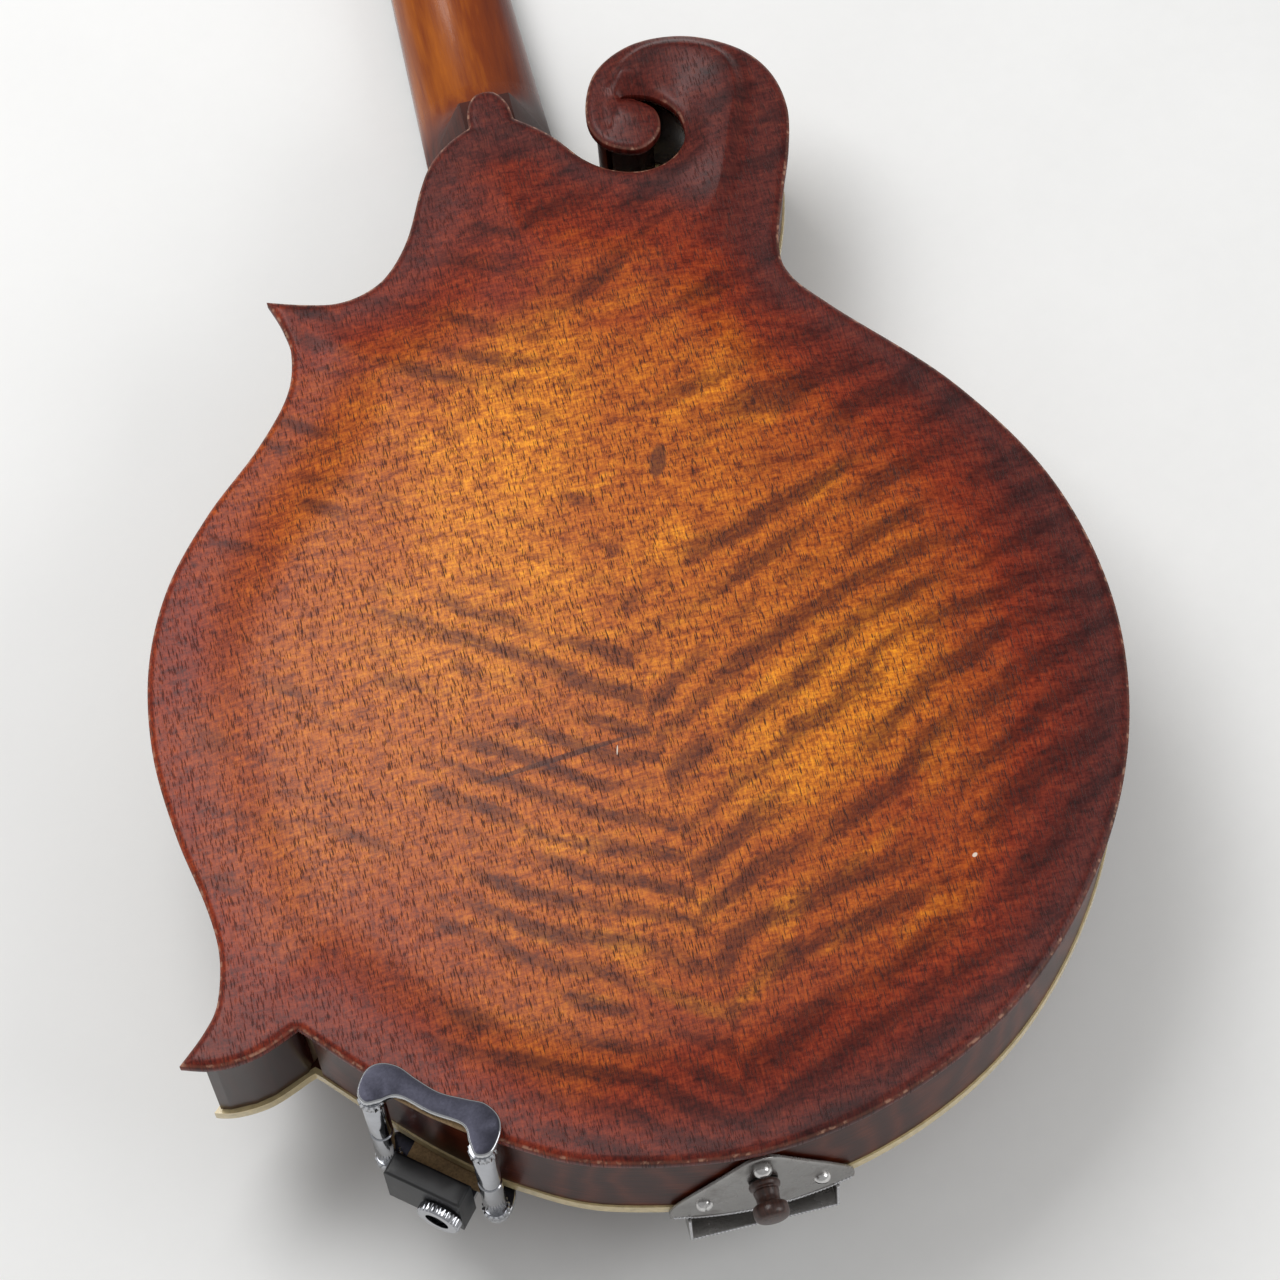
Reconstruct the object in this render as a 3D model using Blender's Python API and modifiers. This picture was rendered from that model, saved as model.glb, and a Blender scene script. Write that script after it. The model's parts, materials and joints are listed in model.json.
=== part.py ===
"""Two-point scroll-body mandolin with an arched two-piece back, lying on its strings with the back up.

Frame of the drawing, in millimetres: X toward the scroll (bass) side, Y from the tail toward the
neck, Z out of the back, origin at the tail on the plane of the back's edge.  Every piece hangs on
one empty, which turns the drawing until the string plane is level, lifts it so that saddle and nut
stand on Z = 0, and scales it to metres in the meshes.
"""
import math

import bmesh
import bpy
import numpy as np
from mathutils import Matrix, Vector
from mathutils.geometry import delaunay_2d_cdt

MM = 0.001
GAP = 0.3                     # between glued or touching pieces
CHORD_ERROR = 0.28            # how far a faceted outline may leave its curve
HEAD_CHORD_ERROR = 0.5

# body
BODY_HALF = 129.6             # centre line to the widest point of the bass side
BODY_LONG = 320.8             # tail seam to the foot of the back's button
PLATE_EDGE = 4.2              # thickness of back and soundboard at the edge
PLATE_CROWN = 5.0             # and under the crown
EDGE_ROUND = 1.1              # drop of the worn outer edge
EDGE_BAND = 2.2               # width of that rounding
BACK_ARCH = 9.5
TOP_ARCH = 9.5
ARCH_CENTRE = (0.0, 138.0)
ARCH_REACH = (BODY_HALF + 20.4, BODY_LONG - 115.8, 165.0)   # half width, toward neck, toward tail
ARCH_FADE = 26.0              # the arch starts this far inside the edge
RIDGE_HEIGHT = 3.4            # carved crest that runs into the scroll
RIDGE_INSIDE = 20.0
RIDGE_OUTSIDE = 5.0
BACK_UNDER = -PLATE_EDGE
RIB_TOP = BACK_UNDER - GAP
RIB_BOTTOM = -40.5
TOP_INNER = RIB_BOTTOM - GAP
TOP_EDGE = TOP_INNER - PLATE_EDGE
RIB_INSET = 2.5               # the back overhangs the ribs by this much
RIB_THICK = 2.2
LINING_WIDE = 5.0
LINING_TALL = 6.0
TOP_INSET = 2.0               # binding face inside the back's outline
BINDING_WIDE = 1.6
BLOCK_INSET = 5.4
POINT_INSET = 3.0             # bare face of the lower point block
LINING_END = 0.4
LINING_TAPER = 9.0
LINING_CLEAR = 6.0            # and this far from a block
RIB_MITRE = 12.0              # a treble rib stops this far from the tip of a point
RIB_SHOULDER = 26.0           # and this far from the button
RIB_BUTT = 0.6                # each rib stops this far short of the tail seam
RECURVE = 13.0                # width of the flat edge before the arch
TAIL_BLOCK_HALF = 30.0
TAIL_BLOCK_DEEP = 22.0
HOLE_CENTRE = (0.0, BODY_LONG - 105.8)
HOLE_HALF = (20.0, 27.0)
BRACE_Y = HOLE_CENTRE[1] - 35.0
BRACE_HALF = BODY_HALF - 41.6
BRACE_DEEP = 11.0
BRACE_THICK = 6.0
MESH_PITCH = 21.0             # spacing of the carving grid

# strings, neck and head
SCALE = 352.4                 # vibrating string length
BODY_FRET_Y = BODY_LONG + 0.4         # the twelfth fret, where neck and body meet
NUT_Y = BODY_FRET_Y + SCALE / 2.0
BRIDGE_Y = NUT_Y - SCALE
STRING_SLOPE = math.tan(math.radians(5.2))
BRIDGE_HIGH = 15.5            # string plane above the crown of the soundboard
ACTION_NUT = 1.4
ACTION_BODY = 2.9
FRETS = 20
FRET_HIGH = 0.9
FRET_WIDE = 2.0
NUT_THICK = 3.6
TONGUE_LIFT = 1.3             # fingerboard tongue above the edge of the soundboard
TONGUE_LAP = 2.8              # of the tongue over the neck joint
TONGUE_SHORT = 6.0            # of the fingerboard's end
# distance beyond the button's tip, and share of the way from the neck's depth to the heel's
HEEL_CURVE = [(20.2, 0.0), (12.2, 0.10), (6.7, 0.34), (3.4, 0.66), (1.4, 0.90), (0.4, 1.0),
              (-26.8, 1.0)]
NECK_CHEEK = 0.16             # straight share of the neck's side
BRIDGE_HALF = 56.0
BRIDGE_WIDE = 9.2
SADDLE_HALF = 25.0
SADDLE_TALL = 3.3
STRING_SEAT = 0.2             # string above saddle and nut
TAIL_SPREAD = 12.5
SADDLE_SPREAD = 19.0
NUT_SPREAD = 10.6
BOARD_THICK = 4.6
BOARD_END = HOLE_CENTRE[1] + 35.0
NECK_NUT_HALF = 14.4
NECK_BODY_HALF = 19.4
NECK_DEEP_NUT = 14.5
NECK_DEEP_BODY = 18.5
HEAD_HALF = 30.6
HEAD_LONG = 159.0
HEAD_ANGLE = math.radians(15.0)
HEAD_THICK = 13.0
OVERLAY_THICK = 2.0
POST_X = 17.5
POST_FIRST = 36.0             # first post from the nut, along the head
POST_STEP = 23.0
STRING_RADII = (0.45, 0.36, 0.28, 0.24)

# geared tuners
WORM_PITCH = 2.0
WORM_ROOT = 1.3
WORM_CREST = 2.3
WORM_LENGTH = 7.0
WORM_SIDES = 8
WORM_LIFT = 3.0               # axis above the plate
WORM_LEAD = math.atan(WORM_PITCH / (math.pi * (WORM_ROOT + WORM_CREST)))
GEAR_TEETH = 14
GEAR_PITCH_RADIUS = GEAR_TEETH * WORM_PITCH / (2 * math.pi)
GEAR_TIP = 4.9
GEAR_ROOT = 3.9
GEAR_TIP_FLAT = 0.05          # half width of a tooth's tip, in pitches
GEAR_THICK = 2.8
GEAR_OFFSET = 6.55            # worm axis to gear axis
POST_RADIUS = 3.0
POST_BORE = 3.65
POST_TIP = 11.3               # in front of the head's face
POST_WINDING = (9.6, 5.6)
WINDING_Z = -7.6
PLATE_LONG = 96.0
PLATE_WIDE = 15.0
PLATE_THICK = 1.2
LUG_THICK = 1.3
LUG_HALF = 2.9
SHAFT_BORE = 1.95
KEY_INNER = -8.2
KEY_COLLAR = 16.0
KEY_WIDE = 8.0
KEY_FLAT = 0.6

# tail hardware
SHEET = 1.0
RIM_PLATE_HALF = 25.0
RIM_PLATE_APEX = -8.4
TRAY_HALF = 19.2
HOOK_Y = 45.0
HOOK_Z = -56.6
COVER_PLAY = 0.5
COVER_SHEET = 0.9
COVER_TALL = 17.0
PIN_Z = -26.0
PIN_LONG = 10.6
PIN_HEAD = 4.8

# clamp of the pickup jack on the treble side of the tail
CLAMP_BARRELS = [(-93.6, 38.5), (-69.0, 17.8)]
BAND = [(0.0, 3.2), (3.2, 1.0), (7.0, -2.2), (16.1, -1.9), (25.2, -2.6), (29.0, 0.8), (32.1, 3.2),
        (35.3, 1.0), (35.2, -4.6), (32.8, -8.6), (28.0, -10.3), (23.0, -9.3), (16.0, -7.9),
        (9.1, -8.5), (3.0, -9.5), (-1.8, -8.1), (-4.1, -4.6), (-3.3, 1.2)]
CORK_PLAN = [(4.0, -2.2), (16.0, -1.7), (28.0, -2.2), (28.4, -9.4), (22.0, -8.7), (16.0, -7.5),
             (9.0, -8.1), (4.0, -8.9)]
BAND_BOSS = BAND.index((32.1, 3.2))   # knot beside the second barrel
BAND_THICK = 2.2
BARREL_RADIUS = 3.2
BARREL_NUT = 3.8
BARREL_BORE = 1.9
BARREL_PLAY = 0.3
ROD_RADIUS = 1.5
ROD_LONG = 13.0
CORK_THICK = 1.6
JACK_HALF = 11.2
JACK_FACE = 9.0
JACK_TOP = -28.0
JACK_SHIFT = 5.5
JACK_Z = -38.0
JACK_RING = 6.2
JACK_BORE = 3.4
JACK_DEEP = 6.0

for old in list(bpy.data.objects):
    bpy.data.objects.remove(old, do_unlink=True)

PARTS = bpy.data.collections.new("scroll_mandolin")
GUIDES = bpy.data.collections.new("cutting_guides")
bpy.context.scene.collection.children.link(PARTS)
bpy.context.scene.collection.children.link(GUIDES)

FINISHES = {
    "back_wood": ((0.30, 0.085, 0.022), 0.22, 0.0),
    "rib_wood": ((0.10, 0.020, 0.008), 0.18, 0.0),
    "top_wood": ((0.16, 0.035, 0.012), 0.24, 0.0),
    "inner_wood": ((0.62, 0.47, 0.30), 0.75, 0.0),
    "neck_wood": ((0.34, 0.12, 0.03), 0.20, 0.0),
    "ebony": ((0.012, 0.010, 0.009), 0.35, 0.0),
    "cream": ((0.80, 0.70, 0.42), 0.40, 0.0),
    "bone": ((0.82, 0.78, 0.66), 0.40, 0.0),
    "nickel": ((0.72, 0.71, 0.70), 0.18, 1.0),
    "steel": ((0.60, 0.60, 0.62), 0.30, 1.0),
    "bronze": ((0.55, 0.34, 0.16), 0.35, 1.0),
    "brass": ((0.66, 0.50, 0.24), 0.32, 1.0),
    "cork": ((0.46, 0.30, 0.16), 0.90, 0.0),
    "black_box": ((0.02, 0.02, 0.022), 0.30, 0.0),
    "pin_wood": ((0.10, 0.035, 0.015), 0.35, 0.0),
    "ivoroid": ((0.86, 0.80, 0.62), 0.35, 0.0),
}


def finish(name, kind):
    """Own Principled material of one object."""
    colour, rough, metal = FINISHES[kind]
    mat = bpy.data.materials.new(name + "_finish")
    mat.use_nodes = True
    shader = mat.node_tree.nodes["Principled BSDF"]
    shader.inputs["Base Color"].default_value = (*colour, 1.0)
    shader.inputs["Roughness"].default_value = rough
    shader.inputs["Metallic"].default_value = metal
    return mat


def lay_frame():
    """The empty that carries the instrument: strings level, saddle and nut on the floor plane, and
    the middle of the instrument's box over the origin."""
    root = bpy.data.objects.new("instrument_frame", None)
    PARTS.objects.link(root)
    turn = Matrix.Rotation(-math.atan(STRING_SLOPE), 4, 'X')
    across = [p[0] for p in OUTLINE]
    tail = turn @ Vector((0, -PIN_LONG, PIN_Z))
    tip = turn @ head_frame() @ Vector((0, max(p[1] for p in head_outline()), 0))
    saddle = turn @ Vector((0, BRIDGE_Y, string_z(BRIDGE_Y)))
    middle = Vector(((min(across) + max(across)) / 2, (tail.y + tip.y) / 2, saddle.z))
    root.matrix_world = Matrix.Translation(-middle * MM) @ turn
    return root


def string_z(y):
    return TOP_EDGE - TOP_ARCH - BRIDGE_HIGH + STRING_SLOPE * (y - BRIDGE_Y)


def board_z(y):
    """Face of the fingerboard."""
    nut = string_z(NUT_Y) + ACTION_NUT
    body = string_z(BODY_FRET_Y) + ACTION_BODY
    return nut + (body - nut) * (NUT_Y - y) / (NUT_Y - BODY_FRET_Y)


def neck_half(y):
    t = (NUT_Y - y) / (NUT_Y - BODY_FRET_Y)
    return NECK_NUT_HALF + (NECK_BODY_HALF - NECK_NUT_HALF) * t


ROOT = None


def add(name, shape, kind, place=None):
    """Link a shape drawn in millimetres as a named piece; `place` seats it in the drawing frame."""
    ob = link_object(name, shape, place, PARTS)
    ob.data.materials.append(finish(name, kind))
    return ob


def guide(name, shape, place=None):
    """A shape that only cuts or joins another piece."""
    ob = link_object(name, shape, place, GUIDES)
    ob.hide_render = True
    ob.display_type = 'WIRE'
    return ob


def link_object(name, shape, place, collection):
    if isinstance(shape, bmesh.types.BMesh):
        bmesh.ops.remove_doubles(shape, verts=shape.verts, dist=0.004)
        if shape.faces:
            bmesh.ops.dissolve_degenerate(shape, dist=0.001, edges=shape.edges)
            bmesh.ops.recalc_face_normals(shape, faces=shape.faces)
        bmesh.ops.scale(shape, verts=shape.verts, vec=(MM, MM, MM))
        data = bpy.data.meshes.new(name)
        shape.to_mesh(data)
        shape.free()
    else:
        data = shape
    ob = bpy.data.objects.new(name, data)
    collection.objects.link(ob)
    ob.parent = ROOT
    if place is not None:
        ob.matrix_local = Matrix.Translation(place.translation * MM) @ place.to_quaternion().to_matrix().to_4x4()
    return ob


def cut(ob, tool, how='DIFFERENCE'):
    mod = ob.modifiers.new(how.lower() + "_" + tool.name, 'BOOLEAN')
    mod.operation = how
    mod.solver = 'EXACT'
    mod.object = tool
    return ob


def spline(knots, closed=False, steps=14):
    """Catmull-Rom curve through the knots."""
    p = [np.array(k, float) for k in knots]
    n = len(p)
    out = []
    for i in range(n if closed else n - 1):
        a, b, c, d = (p[(i + k - 1) % n] if closed else p[min(max(i + k - 1, 0), n - 1)]
                      for k in range(4))
        for s in range(steps):
            t = s / steps
            out.append(0.5 * (2 * b + (c - a) * t + (2 * a - 5 * b + 4 * c - d) * t * t
                              + (3 * b - a - 3 * c + d) * t ** 3))
    if not closed:
        out.append(p[-1])
    return out


def thin(points, error=CHORD_ERROR):
    """Keep only the points an outline needs within the chord error."""
    if len(points) < 3:
        return points
    a, b = points[0], points[-1]
    ab = b - a
    length = math.hypot(*ab) or 1e-9
    far = [abs(ab[0] * (q[1] - a[1]) - ab[1] * (q[0] - a[0])) / length for q in points[1:-1]]
    k = int(np.argmax(far)) + 1
    if far[k - 1] <= error:
        return [a, b]
    return thin(points[:k + 1], error)[:-1] + thin(points[k:], error)


def kept(knots, corners, steps=14):
    """Thinned spline that keeps some of its knots as points."""
    curve = spline(knots, steps=steps)
    marks = [0] + [steps * k for k in corners] + [len(curve) - 1]
    out = []
    for a, b in zip(marks, marks[1:]):
        out += thin(curve[a:b + 1])[:-1]
    return out + [curve[-1]]


# Outline of the back, counter-clockwise seen from behind.  Each run is smooth, runs meet in corners.
# The knots are drawn in millimetres, and sized() fits them to the body's half width and length.
RUN_BASS = [(-108.5, 62.6), (-95.0, 47.6), (-80.0, 32.2), (-62.5, 18.4), (-39.0, 6.6), (0.0, 0.0),
            (39.0, 6.4), (74.6, 24.3), (102.6, 52.5), (121.9, 87.4), (129.6, 127.0),
            (124.1, 167.3), (106.0, 204.0), (79.8, 236.4), (70.5, 250.0), (70.0, 261.0),
            (75.4, 277.2), (80.6, 291.5), (83.4, 304.5), (81.4, 317.5), (74.1, 327.9),
            (60.5, 335.6), (45.0, 336.6), (32.4, 329.6), (26.8, 316.0), (29.6, 306.0),
            (39.0, 301.3), (46.0, 305.6), (46.6, 313.0), (41.4, 318.2), (37.8, 319.4),
            (40.4, 319.9), (47.0, 317.3), (52.4, 310.6), (52.6, 301.6), (47.0, 295.6),
            (38.6, 293.9), (30.0, 296.5), (23.0, 302.0), (17.0, 310.6), (12.4, 315.8), (6.6, 320.8)]
RUN_SHOULDER = [(-6.6, 320.8), (-13.0, 317.6), (-19.5, 312.0), (-24.4, 304.0), (-31.4, 289.0),
                (-39.0, 279.2), (-46.5, 274.8), (-55.0, 273.5), (-64.0, 275.4), (-74.2, 278.9)]
RUN_WAIST = [(-74.2, 278.9), (-71.6, 270.0), (-70.8, 260.0), (-74.6, 247.6), (-86.0, 233.0),
             (-103.0, 216.4), (-117.8, 197.2), (-127.2, 175.0), (-130.9, 150.0), (-129.4, 125.4),
             (-125.4, 103.0), (-124.4, 88.0), (-127.4, 74.6), (-132.4, 67.2), (-140.3, 59.7)]
RUN_POINT = [(-140.3, 59.7), (-131.5, 57.2), (-120.4, 57.9), (-108.5, 62.6)]
BUTTON = [(6.6, 320.8), (5.9, 326.2), (3.4, 330.6), (0.0, 331.8), (-3.4, 330.6), (-5.9, 326.2),
          (-6.6, 320.8)]
RIDGE = [(38.6, 322.4), (42.0, 328.2), (51.0, 332.2), (61.0, 330.6), (68.4, 323.4),
         (69.6, 313.0), (64.6, 299.0), (58.6, 284.0), (51.0, 271.0)]
TAIL_KNOT = RUN_BASS.index((0.0, 0.0))
CURL_KNOT = RUN_BASS.index((29.6, 306.0))     # where the bass rib ends on the scroll
HALF_DRAWN = max(x for x, y in RUN_BASS)
LONG_DRAWN = RUN_BASS[-1][1]

# Blocks, drawn the same way: where the head block leaves the outline on the bass side and on the
# shoulder, where the neck's button begins, and its inner corners.
HEAD_BLOCK = [(78.0, 284.0), (-31.4, 289.0), (22.0, 309.0), (-16.0, 280.0), (24.0, 268.0),
              (46.0, 282.0)]
UPPER_BLOCK = [(-50.0, 258.0), (-56.0, 262.0)]      # limits on the outline, and the inner corner
LOWER_BLOCK = [(-124.6, 92.0), (-104.0, 72.0), (-112.0, 88.0)]
NECK_JOINT = [(-60.0, 262.0), (24.0, 262.0), (30.0, 262.0)]


def sized(knots):
    """Drawn knots, fitted to the body."""
    return [(x * BODY_HALF / HALF_DRAWN, y * BODY_LONG / LONG_DRAWN) for x, y in knots]


RUN_BASS, RUN_SHOULDER, RUN_WAIST, RUN_POINT, BUTTON, RIDGE = (
    sized(run) for run in (RUN_BASS, RUN_SHOULDER, RUN_WAIST, RUN_POINT, BUTTON, RIDGE))
TAIL, CURL = RUN_BASS[TAIL_KNOT], RUN_BASS[CURL_KNOT]
BUTTON_HALF = BUTTON[0][0]
BUTTON_TIP = max(y for x, y in BUTTON)

bass = kept(RUN_BASS, (TAIL_KNOT, CURL_KNOT))
button = thin(spline(BUTTON))
shoulder = thin(spline(RUN_SHOULDER))
waist = thin(spline(RUN_WAIST))
point = thin(spline(RUN_POINT))
OUTLINE = bass[:-1] + button[:-1] + shoulder[:-1] + waist[:-1] + point[:-1]
RIM_LINE = bass[:-1] + shoulder[:-1] + waist[:-1] + point[:-1]
RIM_LINE.insert(len(bass) - 1, bass[-1])


def offset(line, inside, closed=True, mitre=3.4):
    """Move a counter-clockwise line to its inside by one distance or by one distance per point."""
    n = len(line)
    far = [inside] * n if np.isscalar(inside) else inside
    out = []
    for i, p in enumerate(line):
        a = line[i - 1] if closed or i else None
        b = line[(i + 1) % n] if closed or i < n - 1 else None
        sides = []
        for q, r in ((a, p), (p, b)):
            if q is not None and r is not None:
                d = r - q
                sides.append(np.array((-d[1], d[0])) / (math.hypot(*d) or 1.0))
        m = sum(sides)
        m = m / (math.hypot(*m) or 1.0)
        hollow = len(sides) == 2 and sides[0][0] * sides[1][1] < sides[0][1] * sides[1][0]
        reach = min(1.0 / max(float(m @ sides[0]), 0.05), 1.15 if hollow else mitre)
        out.append(p + m * far[i] * reach)
    return out


def distance(p, line, closed=True):
    """Shortest distance from a point to a line of points."""
    a = np.array(line)
    b = np.roll(a, -1, axis=0)
    if not closed:
        a, b = a[:-1], b[:-1]
    d = b - a
    t = np.clip(((p - a) * d).sum(1) / np.maximum((d * d).sum(1), 1e-9), 0, 1)
    return float(np.sqrt(((a + d * t[:, None] - p) ** 2).sum(1)).min())


def within(p, line):
    a = np.array(line)
    b = np.roll(a, -1, axis=0)
    cross = (a[:, 1] > p[1]) != (b[:, 1] > p[1])
    x = a[:, 0] + (p[1] - a[:, 1]) * (b[:, 0] - a[:, 0]) / np.where(b[:, 1] == a[:, 1], 1e9,
                                                                   b[:, 1] - a[:, 1])
    return bool((cross & (x > p[0])).sum() % 2)


RIDGE_LINE = thin(spline(RIDGE), 0.3)


def smooth(t):
    t = min(max(t, 0.0), 1.0)
    return t * t * (3 - 2 * t)


def arch(p, high):
    """Dome over the body, fading out before the edge."""
    dx = (p[0] - ARCH_CENTRE[0]) / ARCH_REACH[0]
    dy = p[1] - ARCH_CENTRE[1]
    dy /= ARCH_REACH[1] if dy > 0 else ARCH_REACH[2]
    dome = max(0.0, 1.0 - dx * dx - dy * dy)
    return high * dome ** 1.3 * smooth((distance(p, RIM_LINE) - 6.0) / ARCH_FADE)


def ridge(p):
    """Crest carved along the scroll: gentle toward the slot, steep toward the outer edge."""
    near = distance(p, RIDGE_LINE, closed=False)
    i = int(np.argmin([math.hypot(*(p - q)) for q in RIDGE_LINE]))
    a = RIDGE_LINE[max(i - 1, 0)]
    b = RIDGE_LINE[min(i + 1, len(RIDGE_LINE) - 1)]
    inner = (b[0] - a[0]) * (p[1] - a[1]) - (b[1] - a[1]) * (p[0] - a[0]) < 0
    along = smooth((p[1] - RIDGE[-1][1]) / 24.0)
    return RIDGE_HEIGHT * along * (1.0 - smooth(near / (RIDGE_INSIDE if inner else RIDGE_OUTSIDE)))


def slab(outer, edges, grid, low, high):
    """Solid between two height functions over an outline, carved on a grid of inner points."""
    pts = [Vector(p) for p in outer]
    loop = list(range(len(pts)))
    wires = [(i, (i + 1) % len(loop)) for i in loop]
    for line, closed in edges:
        first = len(pts)
        pts += [Vector(p) for p in line]
        wires += [(first + i, first + i + 1) for i in range(len(line) - 1)]
        if closed:
            wires.append((len(pts) - 1, first))
    pts += [Vector(p) for p in grid]
    verts, _, faces, *_ = delaunay_2d_cdt(pts, wires, [loop], 1, 1e-5)
    bm = bmesh.new()
    base = [bm.verts.new((v.x, v.y, 0)) for v in verts]
    holes = [line for line, closed in edges if closed]
    for f in faces:
        mid = sum((verts[i] for i in f), Vector((0, 0))) / len(f)
        if not any(within(mid, h) for h in holes):
            bm.faces.new([base[i] for i in f])
    for v in [v for v in bm.verts if not v.link_faces]:
        bm.verts.remove(v)
    lower = list(bm.verts)
    made = bmesh.ops.extrude_face_region(bm, geom=list(bm.faces))
    upper = [g for g in made["geom"] if isinstance(g, bmesh.types.BMVert)]
    for v in upper:
        v.co.z = high(np.array(v.co[:2]))
    for v in lower:
        v.co.z = low(np.array(v.co[:2]))
    return bm


def half_line(line, side):
    """The part of a closed line on one side of the centre seam, closed along the seam."""
    seam = side * GAP / 2
    out = []
    for p, q in zip(line, line[1:] + line[:1]):
        if (p[0] - seam) * side >= 0:
            out.append(p)
        if ((p[0] - seam) * side >= 0) != ((q[0] - seam) * side >= 0):
            t = (seam - p[0]) / (q[0] - p[0])
            out.append(p + (q - p) * t)
    return out


def carving_grid(outer, clear, pitch=MESH_PITCH):
    xs = [p[0] for p in outer]
    ys = [p[1] for p in outer]
    out = []
    for j in range(int((max(ys) - min(ys)) / pitch) + 1):
        for i in range(int((max(xs) - min(xs)) / pitch) + 1):
            p = np.array((min(xs) + (i + 0.5 * (j % 2) + 0.4) * pitch, min(ys) + (j + 0.5) * pitch))
            if within(p, outer) and distance(p, outer) > clear:
                out.append(p)
    return out


def back_high(p):
    d = distance(p, OUTLINE)
    edge = -EDGE_ROUND * (1.0 - min(d / EDGE_BAND, 1.0)) ** 1.5
    return edge + arch(p, BACK_ARCH) + ridge(p) * smooth(d / 6.0)


def back_low(p):
    return BACK_UNDER + max(arch(p, BACK_ARCH) - (PLATE_CROWN - PLATE_EDGE), 0.0)


def top_face(p):
    return TOP_EDGE - arch(p, TOP_ARCH)


def top_under(p):
    return TOP_INNER - max(arch(p, TOP_ARCH) - (PLATE_CROWN - PLATE_EDGE), 0.0)


def prism(line, low, high, hole=None):
    """Straight solid over an outline: a filled 2D curve, extruded to half its thickness each way."""
    curve = bpy.data.curves.new("outline", 'CURVE')
    curve.dimensions = '2D'
    curve.fill_mode = 'BOTH'
    curve.extrude = (high - low) / 2
    for loop in (line, hole) if hole else (line,):
        path = curve.splines.new('POLY')
        path.points.add(len(loop) - 1)
        for spot, p in zip(path.points, loop):
            spot.co = (p[0], p[1], 0.0, 1.0)
        path.use_cyclic_u = True
    drawn = bpy.data.objects.new("outline", curve)
    GUIDES.objects.link(drawn)
    mesh = bpy.data.meshes.new_from_object(drawn.evaluated_get(bpy.context.evaluated_depsgraph_get()))
    bpy.data.objects.remove(drawn, do_unlink=True)
    bpy.data.curves.remove(curve)
    bm = bmesh.new()
    bm.from_mesh(mesh)
    bpy.data.meshes.remove(mesh)
    bmesh.ops.remove_doubles(bm, verts=bm.verts, dist=0.004)
    bmesh.ops.translate(bm, verts=bm.verts, vec=(0, 0, (low + high) / 2))
    return bm


def loft(sections):
    """Solid through a row of closed sections with equal numbers of points."""
    bm = bmesh.new()
    rows = [[bm.verts.new(p) for p in s] for s in sections]
    n = len(rows[0])
    for a, b in zip(rows, rows[1:]):
        for i in range(n):
            bm.faces.new([a[i], a[(i + 1) % n], b[(i + 1) % n], b[i]])
    bm.faces.new(rows[0][::-1])
    bm.faces.new(rows[-1])
    return bm


def bar(profile, x0, x1):
    """A side profile (y, z) extruded across the instrument."""
    bm = bmesh.new()
    face = bm.faces.new([bm.verts.new((x0, y, z)) for y, z in profile])
    made = bmesh.ops.extrude_face_region(bm, geom=[face])
    bmesh.ops.translate(bm, vec=(x1 - x0, 0, 0),
                        verts=[g for g in made["geom"] if isinstance(g, bmesh.types.BMVert)])
    return bm


def boxes(*limits):
    """Cubes between (x0, x1, y0, y1, z0, z1) limits."""
    bm = bmesh.new()
    for x0, x1, y0, y1, z0, z1 in limits:
        size = Matrix.Diagonal((x1 - x0, y1 - y0, z1 - z0, 1.0))
        middle = Matrix.Translation(((x0 + x1) / 2, (y0 + y1) / 2, (z0 + z1) / 2))
        bmesh.ops.create_cube(bm, size=1.0, matrix=middle @ size)
    return bm


def rods(radius, low, high, places, sides):
    """Cylinders along the local Z of each place."""
    bm = bmesh.new()
    for place in places:
        bmesh.ops.create_cone(bm, cap_ends=True, segments=sides, radius1=radius, radius2=radius,
                              depth=high - low,
                              matrix=place @ Matrix.Translation((0, 0, (low + high) / 2)))
    return bm


def lathe(ob, sides):
    """Turn the profile of an object about its own Z axis."""
    mod = ob.modifiers.new("turn", 'SCREW')
    mod.steps = mod.render_steps = sides
    mod.use_merge_vertices = True
    mod.merge_threshold = 0.00005
    mod.use_smooth_shade = True
    return ob


def profile(points, closed=False):
    """Edges through (radius, height) points, listed down the outer side."""
    bm = bmesh.new()
    verts = [bm.verts.new((r, 0, h)) for r, h in points]
    for a, b in zip(verts, verts[1:] + (verts[:1] if closed else [])):
        bm.edges.new((a, b))
    return bm


def wire(points, radius):
    """Round wire along a line of points."""
    curve = bpy.data.curves.new("wire", 'CURVE')
    curve.dimensions = '3D'
    curve.bevel_depth = radius * MM
    curve.bevel_resolution = 1
    curve.use_fill_caps = True
    path = curve.splines.new('POLY')
    path.points.add(len(points) - 1)
    for spot, p in zip(path.points, points):
        spot.co = (p[0] * MM, p[1] * MM, p[2] * MM, 1.0)
    return curve


# shell

def build_back():
    """Two bookmatched halves, arched, with the crest that runs into the scroll."""
    ring = offset(OUTLINE, EDGE_BAND)
    for name, side in (("back_bass_half", 1), ("back_treble_half", -1)):
        outer = half_line(OUTLINE, side)
        inner = [p for p in half_line(ring, side) if (p[0] - side * GAP / 2) * side > 1.0]
        start = max(range(len(inner)), key=lambda i: math.hypot(*(inner[i] - inner[i - 1])))
        edges = [(inner[start:] + inner[:start], False)]
        grid = carving_grid(outer, 9.0)
        grid += [p for p in offset(outer, RECURVE)[::2]
                 if within(p, outer) and distance(p, outer) > RECURVE - 3.0]
        if side > 0:
            edges.append((RIDGE_LINE[1:], False))
            grid = [p for p in grid if distance(p, RIDGE_LINE, False) > 6.5]
        add(name, slab(outer, edges, grid, back_low, back_high), "back_wood")


def oval(grow=0.0, sides=28):
    turn = [2 * math.pi * i / sides for i in range(sides)]
    return [np.array((HOLE_CENTRE[0] + (HOLE_HALF[0] + grow) * math.cos(a),
                      HOLE_CENTRE[1] + (HOLE_HALF[1] + grow) * math.sin(a))) for a in turn]


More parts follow.
